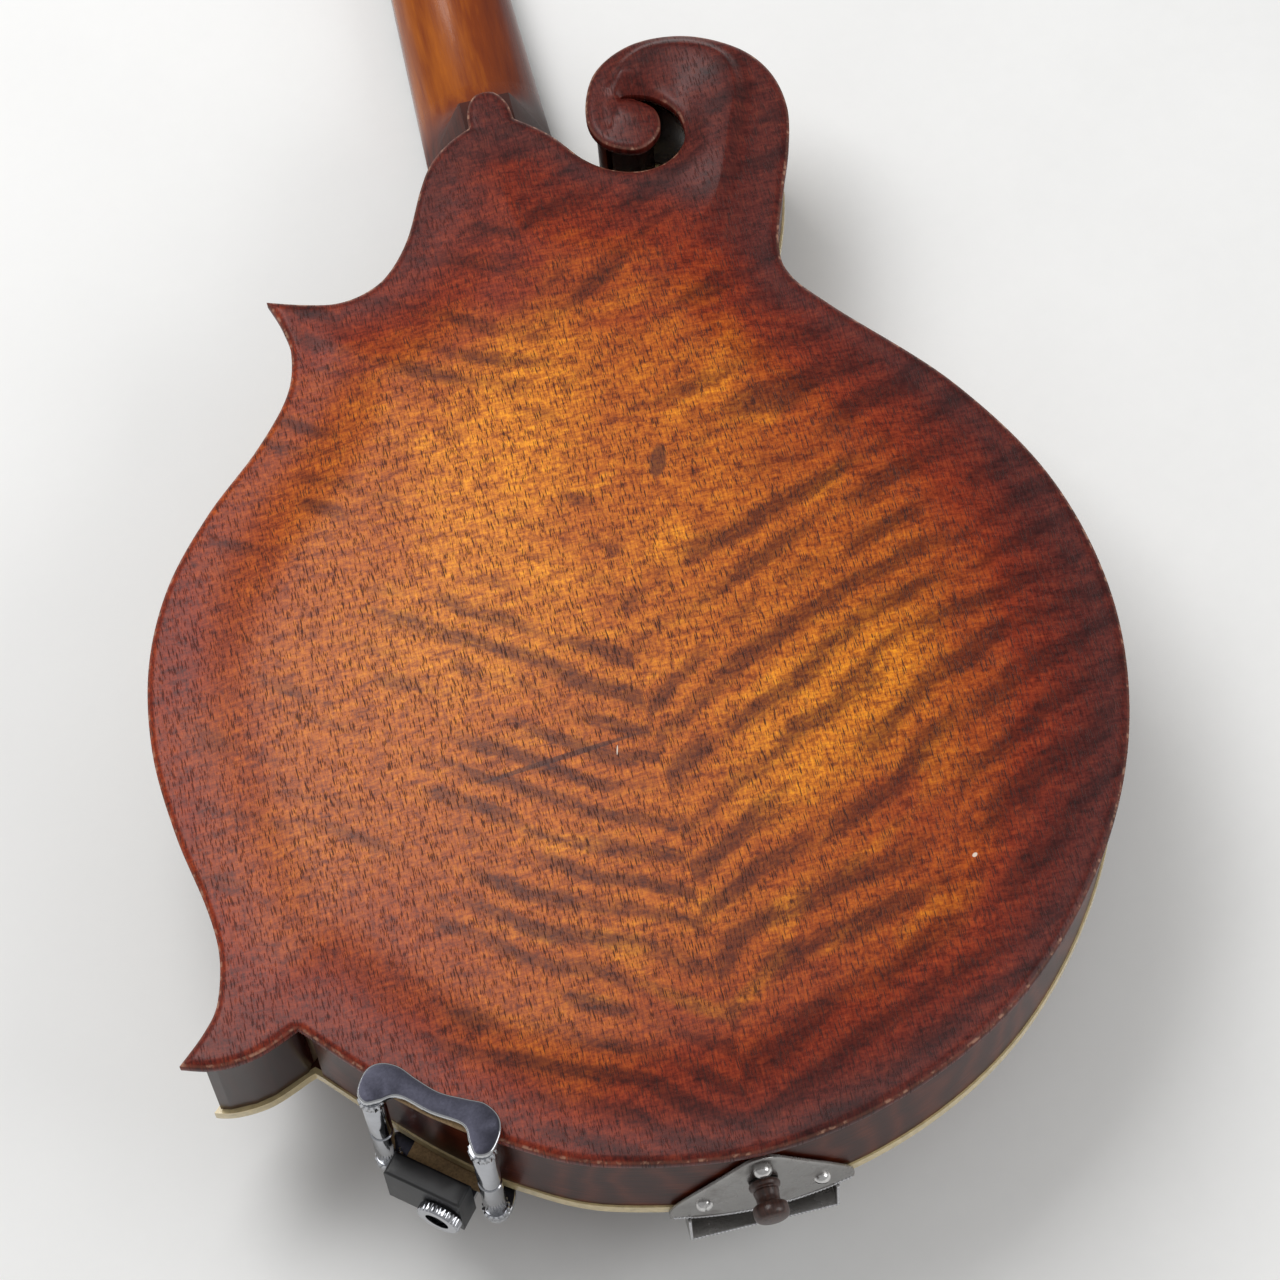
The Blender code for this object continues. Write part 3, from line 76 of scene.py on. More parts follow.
@dataclass(frozen=True)
class Lay:
    """A drawing's place in the frame: its axes as columns, and its origin in metres."""

    axes: Array
    origin: Array

    def world(self, points: Array) -> Array:
        """Carry drawing points in millimetres into the frame, in metres."""
        return np.asarray(points, float) @ self.axes.T * MM + self.origin

    def inner(self, spot: Array, axes: Array = np.eye(3)) -> "Lay":
        """Return the frame of a piece at a spot of this drawing, with its axes as columns."""
        return Lay(self.axes @ np.asarray(axes, float), self.world(spot))


def joint(name: str) -> dict:
    """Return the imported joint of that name."""
    return next(j for j in frame["joints"] if j["name"] == name)


def axes_from(y: Array, z: Array) -> Array:
    """Return a right-handed set of axes as columns, from its Y and Z."""
    y, z = np.asarray(y, float), np.asarray(z, float)
    return np.column_stack([np.cross(y, z), y, z])


PIN_FACE = np.array([0.0, -10.2, -26.0])       # the end pin's outer face in the body's drawing
POST_AXIS = np.array([17.5, 36.0, 17.5])       # the first post's joint in the head's drawing


def body_lay() -> Lay:
    """Find the body's drawing from the cover's slide, the clamp's barrel and the end pin."""
    axes = axes_from(-np.array(joint("cover_slide")["axis"]), joint("barrel_turn_1")["axis"])
    pin = next(m for m in frame["record"]["mounts"] if m["name"] == "end_pin_face")
    return Lay(axes, np.array(pin["pos_m"]) - axes @ PIN_FACE * MM)


def head_lay() -> Lay:
    """Find the head's drawing from the first post's joint."""
    post = joint("post_turn_1")
    z = np.array(post["axis"])
    axes = axes_from(np.cross(z, (1.0, 0.0, 0.0)), z)
    return Lay(axes, np.array(post["pos_m"]) - axes @ POST_AXIS * MM)


BODY = body_lay()
HEAD = head_lay()


# lines


def spline(knots: list, closed: bool = False, steps: int = 12) -> Array:
    """Run a smooth curve through the knots, as one array of points.

    Between knots b and c, with neighbours a and d, the point at t is half of
    2b + (c - a)t + (2a - 5b + 4c - d)t squared + (3b - a - 3c + d)t cubed.

    Args:
        knots: Points in two or three dimensions.
        closed: Whether the last knot leads back to the first.
        steps: Points on each stretch.

    Returns:
        The points of the curve, with the last knot where it is open.
    """
    p = np.asarray(knots, float)
    n = len(p)
    reach = np.arange(n if closed else n - 1)[:, None] + np.array([-1, 0, 1, 2])
    reach = reach % n if closed else np.clip(reach, 0, n - 1)
    a, b, c, d = (p[reach[:, k]][:, None, :] for k in range(4))
    t = (np.arange(steps) / steps)[None, :, None]
    line = 0.5 * (2 * b + (c - a) * t + (2 * a - 5 * b + 4 * c - d) * t ** 2
                  + (3 * b - a - 3 * c + d) * t ** 3)
    line = line.reshape(-1, p.shape[1])
    return line if closed else np.vstack([line, p[-1:]])


def travelled(path: Array) -> Array:
    """Add up the way along a path to each of its points."""
    return np.concatenate([[0.0], np.cumsum(norm(np.diff(path, axis=0), axis=1))])


def spread(x: Array, y: Array, z: Array) -> Array:
    """Spread three values or arrays to one shape, as the points of a line or a grid."""
    return np.stack(np.broadcast_arrays(x, y, z), -1)


def raised(line: Array, heights: tuple) -> Array:
    """Stack copies of a plan line at some heights, as the rows of a grid."""
    return spread(line[:, 0], line[:, 1], np.array(heights)[:, None])


def joined(*runs: Array) -> Array:
    """Join runs that share their end points into one closed line."""
    return np.vstack([run[:-1] for run in runs])


def offset(line: Array, inside: float, closed: bool = True) -> Array:
    """Move a counter-clockwise line to its inside along the mean of its two edge normals.

    Args:
        line: The line.
        inside: How far it moves.
        closed: Whether it is closed.

    Returns:
        The moved line.
    """
    edge = np.roll(line, -1, axis=0) - line
    if not closed:
        edge[-1] = edge[-2]
    normal = np.column_stack([-edge[:, 1], edge[:, 0]])
    normal /= np.maximum(norm(normal, axis=1, keepdims=True), 1e-9)
    before = np.roll(normal, 1, axis=0)
    if not closed:
        before[0] = normal[0]
    mean = normal + before
    mean /= np.maximum(norm(mean, axis=1, keepdims=True), 1e-9)
    hollow = before[:, 0] * normal[:, 1] < before[:, 1] * normal[:, 0]
    reach = 1.0 / np.maximum((mean * normal).sum(1), 0.3)
    reach = np.minimum(reach, np.where(hollow, 1.15, 3.4))
    return line + mean * (reach * inside)[:, None]


def inner_line(line: Array, inside: float) -> Array:
    """Move a closed line inwards and drop the points that crossed over at its sharp corners."""
    moved = offset(line, inside)
    return moved[distance(moved, line) > inside - 0.05]


def divided(line: Array, step: float) -> Array:
    """Add points to a closed line so that no edge is longer than a step.

    Args:
        line: The line.
        step: Longest edge.

    Returns:
        The line with its new points.
    """
    ahead = np.roll(line, -1, axis=0)
    count = np.maximum(np.ceil(norm(ahead - line, axis=1) / step), 1).astype(int)
    start = np.repeat(np.cumsum(count) - count, count)
    share = ((np.arange(count.sum()) - start) / np.repeat(count, count))[:, None]
    return np.repeat(line, count, axis=0) * (1 - share) + np.repeat(ahead, count, axis=0) * share


def distance(points: Array, line: Array, closed: bool = True) -> Array:
    """Measure each point's shortest way to a line, taken over all of its edges at once.

    Args:
        points: Plan points.
        line: The line.
        closed: Whether it is closed.

    Returns:
        One distance for each point.
    """
    a = line if closed else line[:-1]
    d = (np.roll(line, -1, axis=0) if closed else line[1:]) - a
    length = np.maximum((d * d).sum(1), 1e-12)
    out = np.empty(len(points))
    for first in range(0, len(points), 2000):
        rel = points[first:first + 2000, None, :] - a[None]
        t = np.clip((rel * d[None]).sum(2) / length[None], 0, 1)
        gap = rel - d[None] * t[..., None]
        out[first:first + 2000] = np.sqrt((gap * gap).sum(2).min(1))
    return out


def within(points: Array, line: Array) -> Array:
    """Tell which points lie in a closed line, by counting the edges to their right.

    Args:
        points: Plan points.
        line: The closed line.

    Returns:
        True for each point inside.
    """
    a, b = line, np.roll(line, -1, axis=0)
    x, y = points[:, None, 0], points[:, None, 1]
    cross = (a[None, :, 1] > y) != (b[None, :, 1] > y)
    rise = np.where(b[:, 1] == a[:, 1], 1e9, b[:, 1] - a[:, 1])
    at = a[None, :, 0] + (y - a[None, :, 1]) * (b[:, 0] - a[:, 0])[None] / rise[None]
    return (cross & (at > x)).sum(1) % 2 == 1


def smooth(t: Array) -> Array:
    """Ease from 0 to 1: three t squared less two t cubed."""
    t = np.clip(t, 0.0, 1.0)
    return t * t * (3 - 2 * t)


# meshes


def made(name: str, lay: Lay, points: Array, faces: list, sharp: float = 40.0) -> Piece:
    """Put drawing points and faces into a new smooth object at the origin.

    Args:
        name: Name of the piece.
        lay: Frame that the points are drawn in.
        points: Rows of x, y, z in millimetres.
        faces: Lists of point numbers.
        sharp: Angle in degrees above which an edge stays sharp.

    Returns:
        The linked object.
    """
    mesh = bpy.data.meshes.new(name)
    mesh.from_pydata(lay.world(points).tolist(), [], faces)
    mesh.update()
    mesh.shade_smooth()
    mesh.set_sharp_from_angle(angle=math.radians(sharp))
    ob = bpy.data.objects.new(name, mesh)
    bpy.context.scene.collection.objects.link(ob)
    return ob


def quads(rows: int, columns: int, loop: bool) -> list:
    """List the faces between neighbouring rows of a grid whose rows are closed rings.

    Args:
        rows: Rows of the grid.
        columns: Points in a row.
        loop: Whether the last row leads back to the first.

    Returns:
        Four point numbers for each face.
    """
    i, j = np.meshgrid(np.arange(rows if loop else rows - 1), np.arange(columns), indexing="ij")
    k, n = (j + 1) % columns, (i + 1) % rows
    corner = np.stack([i * columns + j, i * columns + k, n * columns + k, n * columns + j], -1)
    return corner.reshape(-1, 4).tolist()


def skin(name: str, lay: Lay, grid: Array, loop: bool = False, sharp: float = 40.0) -> Piece:
    """Make a piece from a grid of points whose rows are its sections, each a closed ring.

    Args:
        name: Name of the piece.
        lay: Frame that the grid is drawn in.
        grid: Points by row, column and axis.
        loop: Whether the last row leads back to the first. Where it doesn't, both ends are filled.
        sharp: Angle in degrees above which an edge stays sharp.

    Returns:
        The linked object, its faces pointing out.
    """
    rows, columns = grid.shape[:2]
    faces = quads(rows, columns, loop)
    if not loop:
        faces.append(list(range(columns))[::-1])
        faces.append(list(range((rows - 1) * columns, rows * columns)))
    ob = made(name, lay, grid.reshape(-1, 3), faces, sharp)
    outward(ob)
    return ob


def outward(ob: Piece) -> None:
    """Merge doubled points and turn a closed piece's faces outwards."""
    bm = bmesh.new()
    bm.from_mesh(ob.data)
    bmesh.ops.remove_doubles(bm, verts=bm.verts, dist=2e-6)
    bmesh.ops.recalc_face_normals(bm, faces=bm.faces)
    bm.to_mesh(ob.data)
    bm.free()


def angles(count: int) -> Array:
    """Divide a whole turn evenly."""
    return np.linspace(0, TURN, count, endpoint=False)


def ringed(radius: Array, angle: Array, height: Array) -> Array:
    """Spread radii, angles and heights to one grid: x is r cos a, y is r sin a, z is h."""
    return spread(radius * np.cos(angle), radius * np.sin(angle), height)


def turned(name: str, lay: Lay, profile: list, sides: int = 48, closed: bool = False) -> Piece:
    """Turn a profile of radius and height about Z, which may be a ring, as on a tube."""
    r, h = np.asarray(profile, float).T[..., None]
    return skin(name, lay, ringed(r, angles(sides), h), closed, sharp=32)


def swept(name: str, lay: Lay, path: Array, radius: object, sides: int = 10,
          up: tuple = (0.0, 0.0, 1.0)) -> Piece:
    """Carry a circle along a path: each ring is the path's point plus the radius, which may differ
    along the path, times the cosine and sine of an even angle on the two directions square to
    it.

    Args:
        name: Name of the piece.
        lay: Frame of the path.
        path: Points along the middle.
        radius: One radius, or one for each point.
        sides: Points round the path.
        up: A direction that the path never takes.

    Returns:
        The linked object.
    """
    path = np.asarray(path, float)
    ahead = np.gradient(path, axis=0)
    ahead /= norm(ahead, axis=1, keepdims=True)
    side = np.cross(ahead, np.broadcast_to(np.array(up, float), ahead.shape))
    side /= np.maximum(norm(side, axis=1, keepdims=True), 1e-9)
    over = np.cross(side, ahead)
    a = angles(sides)
    ring = side[:, None] * np.cos(a)[None, :, None] + over[:, None] * np.sin(a)[None, :, None]
    thick = np.broadcast_to(radius, len(path))[:, None, None]
    return skin(name, lay, path[:, None] + ring * thick)


def beaded(name: str, lay: Lay, path: Array, radius: float, pitch: float) -> Piece:
    """Make a row of beads along a path: the radius follows the root of one less the square of the
    place within the bead.

    Args:
        name: Name of the piece.
        lay: Frame of the path.
        path: Points along the row.
        radius: Radius of a bead.
        pitch: Length of a bead.

    Returns:
        The linked object.
    """
    run = travelled(path)
    count = max(int(run[-1] / pitch), 1)
    along = np.linspace(0.0, count, count * 6 + 1)
    place = 2.0 * (along % 1.0) - 1.0
    thick = radius * np.sqrt(np.maximum(1.0 - place ** 2, 0.10))
    dense = np.column_stack([np.interp(along / count * run[-1], run, path[:, k]) for k in range(3)])
    return swept(name, lay, dense, thick, 8, (0.3, 0.9, 0.3))


def sheet_points(outline: Array, rings: list, pitch: float, fine: Array, holes: list) -> Array:
    """Gather the free points of a plate: rings beside its edge, an even grid, and fine spots.

    Args:
        outline: Closed line round the plate.
        rings: Distances of rings from it.
        pitch: Spacing of the grid.
        fine: More points.
        holes: Closed lines with no point inside.

    Returns:
        The points.
    """
    low, high = outline.min(0), outline.max(0)
    gx = np.arange(low[0] + pitch / 2, high[0], pitch)
    gy = np.arange(low[1] + pitch / 2, high[1], pitch)
    grid = np.stack(np.meshgrid(gx, gy), -1).reshape(-1, 2)
    if len(fine):
        near = norm(grid[:, None] - fine[None, ::7], axis=2).min(1)
        grid = np.vstack([grid[near > pitch], fine])
    grid = grid[within(grid, outline)]
    grid = grid[distance(grid, outline) > (rings[-1] if rings else 0.0) + 0.5]
    found = [grid]
    for ring in rings:
        line = offset(outline, ring)
        line = line[within(line, outline)]
        found.append(line[np.abs(distance(line, outline) - ring) < 0.06 * ring + 0.01])
    free = np.vstack(found)
    for hole in holes:
        free = free[~within(free, hole)]
        free = free[distance(free, hole) > 0.4]
    return free


def plate(name: str, lay: Lay, outline: Array, high: Callable, low: Callable, rings: list,
          pitch: float, holes: tuple = (), fine: Array = np.empty((0, 2))) -> Piece:
    """Make a solid plate between two heights over an outline.

    The plan is a triangle mesh of the outline, the holes, rings that follow the edge and a grid.
    The upper and lower skins are that plan at the two heights, and each free edge of the plan
    becomes one wall.

    Args:
        name: Name of the piece.
        lay: Frame of the outline.
        outline: Closed counter-clockwise line.
        high: Function from plan points to the heights of the upper skin.
        low: Function from plan points to the heights of the lower skin.
        rings: Distances from the edge at which the plan has a ring of points.
        pitch: Spacing of the grid.
        holes: Closed lines cut out of the plate.
        fine: More points, where the surface needs them.

    Returns:
        The linked object.
    """
    loops = [outline, *holes]
    free = sheet_points(outline, rings, pitch, fine, list(holes))
    start = np.cumsum([0] + [len(p) for p in loops])
    wires = [(int(s) + i, int(s) + (i + 1) % len(p)) for s, p in zip(start, loops)
             for i in range(len(p))]
    plan = np.vstack([*loops, free])
    verts, _, faces, *_ = delaunay_2d_cdt([Vector(p) for p in plan], wires,
                                          [list(range(len(outline)))], 1, 1e-6)
    plan, tri = np.array([tuple(v) for v in verts]), np.array(faces)
    for hole in holes:
        tri = tri[~within(plan[tri].mean(1), hole)]
    used, tri = np.unique(tri, return_inverse=True)
    plan, tri = plan[used], tri.reshape(-1, 3)
    n = len(plan)
    edges = np.vstack([tri[:, [0, 1]], tri[:, [1, 2]], tri[:, [2, 0]]])
    code = edges[:, 0] * n + edges[:, 1]
    rim = edges[~np.isin(code, edges[:, 1] * n + edges[:, 0])]
    wall = np.column_stack([rim[:, 1], rim[:, 0], rim[:, 0] + n, rim[:, 1] + n])
    points = np.vstack([np.column_stack([plan, high(plan)]), np.column_stack([plan, low(plan)])])
    faces = tri.tolist() + (tri[:, ::-1] + n).tolist() + wall.tolist()
    return made(name, lay, points, faces, 50)


def rounded(radius: float, d: Array) -> Array:
    """Drop of a quarter-round edge at a distance d from it: r less the root of r squared less the
    square of r - d, and nothing beyond r."""
    inner = np.clip(radius - d, 0.0, radius)
    return radius - np.sqrt(np.maximum(radius ** 2 - inner ** 2, 0.0))


def slabbed(name: str, lay: Lay, outline: Array, low: float, high: float, bevel: float = 0.4,
            holes: tuple = (), pitch: float = 14.0) -> Piece:
    """Make a flat plate with quarter-round edges above and below.

    Args:
        name: Name of the piece.
        lay: Frame of the outline.
        outline: Closed counter-clockwise line.
        low: Height of the lower face.
        high: Height of the upper face.
        bevel: Radius of the rounded edges.
        holes: Closed lines cut out of the plate.
        pitch: Spacing of the grid.

    Returns:
        The linked object.
    """
    def drop(p: Array) -> Array:
        """Return the rounding's drop at plan points."""
        edge = distance(p, outline)
        for hole in holes:
            edge = np.minimum(edge, distance(p, hole))
        return rounded(bevel, edge)
    rings = [bevel * f for f in (0.04, 0.18, 0.45, 1.0)]
    return plate(name, lay, outline, lambda p: high - drop(p), lambda p: low + drop(p), rings,
                 pitch, holes)


def circle(x: float, y: float, radius: float, sides: int = 28) -> Array:
    """Return a counter-clockwise circle."""
    a = angles(sides)
    return np.column_stack([x + radius * np.cos(a), y + radius * np.sin(a)])


def refined(node: str, name: str, bevel: float = 0.25, segments: int = 2) -> Piece:
    """Copy a CAD node, merge its loose triangles and break its edges.

    Args:
        node: Name of the node.
        name: Name of the new piece.
        bevel: Width of the broken edges in millimetres.
        segments: Steps across a broken edge.

    Returns:
        The linked object, which lies exactly over the node.
    """
    mesh = frame["nodes"][node].data.copy()
    mesh.name = name
    mesh.materials.clear()
    bm = bmesh.new()
    bm.from_mesh(mesh)
    bmesh.ops.remove_doubles(bm, verts=bm.verts, dist=4e-6)
    bmesh.ops.dissolve_limit(bm, angle_limit=math.radians(1.0), verts=bm.verts, edges=bm.edges)
    bm.to_mesh(mesh)
    bm.free()
    mesh.shade_smooth()
    mesh.set_sharp_from_angle(angle=math.radians(35))
    ob = bpy.data.objects.new(name, mesh)
    bpy.context.scene.collection.objects.link(ob)
    if bevel:
        mod = ob.modifiers.new("broken_edges", "BEVEL")
        mod.width = bevel * MM
        mod.segments = segments
        mod.limit_method = "ANGLE"
        mod.angle_limit = math.radians(40)
    return ob


def drawn(ob: Piece) -> Array:
    """Return a piece's points in the body's drawing."""
    points = np.empty(len(ob.data.vertices) * 3, np.float32)
    ob.data.vertices.foreach_get("co", points)
    return (points.reshape(-1, 3) - BODY.origin) @ BODY.axes / MM


def note(ob: Piece, name: str, values: Array) -> None:
    """Keep one number for each point of a piece, for its finish to read."""
    ob.data.attributes.new(name, "FLOAT", "POINT")
    ob.data.attributes[name].data.foreach_set("value", np.asarray(values, np.float32))


# shaders


class Sock:
    """A shader socket with arithmetic: an expression adds the Math nodes that work it out."""

    def __init__(self, graph: "Graph", socket: bpy.types.NodeSocket) -> None:
        """Wrap a socket of a graph."""
        self.graph, self.socket = graph, socket

    def math(self, operation: str, *others: object, clamp: bool = False) -> "Sock":
        """Add a Math node on this and further operands, and return its result."""
        settings = {"operation": operation, "use_clamp": clamp}
        return self.graph.value("ShaderNodeMath", settings, dict(enumerate((self, *others))))

    def __add__(self, other: object) -> "Sock":
        """Add."""
        return self.math("ADD", other)

    __radd__ = __add__

    def __mul__(self, other: object) -> "Sock":
        """Multiply."""
        return self.math("MULTIPLY", other)

    __rmul__ = __mul__

    def __sub__(self, other: object) -> "Sock":
        """Subtract."""
        return self.math("SUBTRACT", other)

    def __rsub__(self, other: object) -> "Sock":
        """Subtract from a number."""
        return self.math("MULTIPLY", -1.0) + other

    def __truediv__(self, other: object) -> "Sock":
        """Divide."""
        return self.math("DIVIDE", other)

    def __pow__(self, other: object) -> "Sock":
        """Raise to a power."""
        return self.math("POWER", other)

    def __abs__(self) -> "Sock":
        """Drop the sign."""
        return self.math("ABSOLUTE")

    def sine(self) -> "Sock":
        """Return the sine."""
        return self.math("SINE")

    def least(self, other: object) -> "Sock":
        """Return the smaller."""
        return self.math("MINIMUM", other)

    def most(self, other: object) -> "Sock":
        """Return the larger."""
        return self.math("MAXIMUM", other)

    def step(self, low: float, high: float) -> "Sock":
        """Ease from 0 at low to 1 at high, or down where high is the smaller.

        Args:
            low: Value that gives 0.
            high: Value that gives 1.

        Returns:
            The eased value.
        """
        ends = {"From Min": min(low, high), "From Max": max(low, high),
                "To Min": float(low > high), "To Max": float(low < high)}
        return self.graph.value("ShaderNodeMapRange", {"interpolation_type": "SMOOTHSTEP"},
                                {"Value": self, **ends})


class Graph:
    """The node tree of one finish."""

    def __init__(self, name: str, lay: Lay) -> None:
        """Start a material whose patterns are drawn in a lay's millimetres.

        Args:
            name: Name of the material.
            lay: Drawing that the patterns follow.
        """
        self.material = bpy.data.materials.new(name)
        self.material.use_nodes = True
        self.tree = self.material.node_tree
        self.tree.nodes.clear()
        self.shader = self.node("ShaderNodeBsdfPrincipled")
        self.node("ShaderNodeOutputMaterial", inputs={"Surface": self.shader.outputs[0]})
        turn = Matrix(lay.axes.tolist()).to_euler("XYZ")
        place = {"Vector": self.node("ShaderNodeTexCoord").outputs["Object"],
                 "Location": tuple(lay.origin), "Rotation": tuple(turn), "Scale": (MM, MM, MM)}
        self.spot = self.value("ShaderNodeMapping", {"vector_type": "TEXTURE"}, place)
        parts = self.node("ShaderNodeSeparateXYZ", inputs={0: self.spot})
        self.x, self.y, self.z = (Sock(self, parts.outputs[k]) for k in range(3))

    def node(self, kind: str, settings: dict | None = None,
             inputs: dict | None = None) -> bpy.types.Node:
        """Add a node.

        Args:
            kind: The node's type.
            settings: Its properties, or the stops of a ramp under the key stops.
            inputs: A socket, number, colour or vector for each input, by name or number.

        Returns:
            The node.
        """
        node = self.tree.nodes.new(kind)
        for key, value in (settings or {}).items():
            if key == "stops":
                self.stops(node.color_ramp, value)
            else:
                setattr(node, key, value)
        self.fill(node, inputs or {})
        return node

    def value(self, kind: str, settings: dict | None = None, inputs: dict | None = None,
              output: object = 0) -> Sock:
        """Add a node and return one of its outputs, by number or name."""
        return Sock(self, self.node(kind, settings, inputs).outputs[output])

    def fill(self, node: bpy.types.Node, inputs: dict) -> None:
        """Link or set a node's inputs.

        Args:
            node: The node.
            inputs: A socket, number, colour or vector for each input, by name or number.
        """
        for key, value in inputs.items():
            socket, value = node.inputs[key], getattr(value, "socket", value)
            if isinstance(value, bpy.types.NodeSocket):
                self.tree.links.new(value, socket)
            elif isinstance(value, tuple) and socket.type == "RGBA":
                socket.default_value = (*value[:3], 1.0)
            else:
                socket.default_value = value

    def stops(self, ramp: bpy.types.ColorRamp, stops: list) -> None:
        """Set a ramp's stops from pairs of place and colour.

        Args:
            ramp: The ramp.
            stops: Places and colours.
        """
        while len(ramp.elements) < len(stops):
            ramp.elements.new(1.0)
        for element, (at, colour) in zip(ramp.elements, stops):
            element.position = at
            element.color = (*colour, 1.0)

    def vector(self, x: object, y: object, z: object = 0.0) -> Sock:
        """Combine three values into a vector."""
        return self.value("ShaderNodeCombineXYZ", inputs={0: x, 1: y, 2: z})

    def noise(self, at: Sock, scale: float = 1.0, detail: float = 3.0,
              rough: float = 0.5) -> Sock:
        """Noise of so many waves and octaves, with a share for each finer octave."""
        return self.value("ShaderNodeTexNoise", {"noise_dimensions": "3D"},
                          {"Vector": at, "Scale": scale, "Detail": detail, "Roughness": rough})

    def grain(self, x: float, y: float, z: float = 0.0, detail: float = 3.0,
              rough: float = 0.5) -> Sock:
        """Noise of so many waves to a millimetre along X and Y, cut at a height z of its own."""
        return self.noise(self.vector(self.x * x, self.y * y, z), 1.0, detail, rough)

    def cells(self, at: Sock) -> Sock:
        """Add a texture of cells and return the distance to the nearest middle."""
        return self.value("ShaderNodeTexVoronoi", {}, {"Vector": at, "Scale": 1.0}, "Distance")

    def attribute(self, name: str) -> Sock:
        """Read a number that the piece keeps for each point."""
        return self.value("ShaderNodeAttribute", {"attribute_name": name}, output="Fac")

    def ramp(self, value: Sock, stops: list) -> Sock:
        """Turn a value into a colour by stops."""
        return self.value("ShaderNodeValToRGB", {"stops": stops}, {0: value})

    def mix(self, a: object, b: object, share: object, blend: str = "MIX") -> Sock:
        """Mix two colours by a share of the second."""
        return self.value("ShaderNodeMix", {"data_type": "RGBA", "blend_type": blend},
                          {0: share, 6: a, 7: b}, 2)

    def facing(self) -> Sock:
        """How squarely the surface looks along the body's depth: 1 on its faces, 0 on its sides."""
        normal = self.value("ShaderNodeNewGeometry", output="Normal")
        return abs(self.value("ShaderNodeVectorMath", {"operation": "DOT_PRODUCT"},
                              {0: normal, 1: tuple(BODY.axes[:, 2])}, "Value"))

    def dress(self, bump: Sock | None = None, depth: float = 0.1, **inputs: object) -> Material:
        """Fill the shader and finish the material.

        Args:
            bump: Height of the surface, or None.
            depth: Height in millimetres that a bump of 1 stands for.
            **inputs: The shader's inputs, with underscores for spaces.

        Returns:
            The material.
        """
        self.fill(self.shader, {key.replace("_", " ").title().replace("Ior", "IOR"): value
                                for key, value in inputs.items()})
        if bump is not None:
            node = self.node("ShaderNodeBump", {}, {"Strength": 1.0, "Distance": depth * MM,
                                                    "Height": bump})
            self.fill(self.shader, {"Normal": node.outputs[0]})
        return self.material


# finishes


@dataclass(frozen=True)
class Finish:
    """One surface: a name, the drawing that its patterns follow, and a method that builds it."""

    name: str
    lay: Lay = BODY

    def graph(self) -> Graph:
        """Start the finish's node tree."""
        return Graph(self.name, self.lay)

    def material(self) -> Material:
        """Build the finish's material."""
        raise NotImplementedError


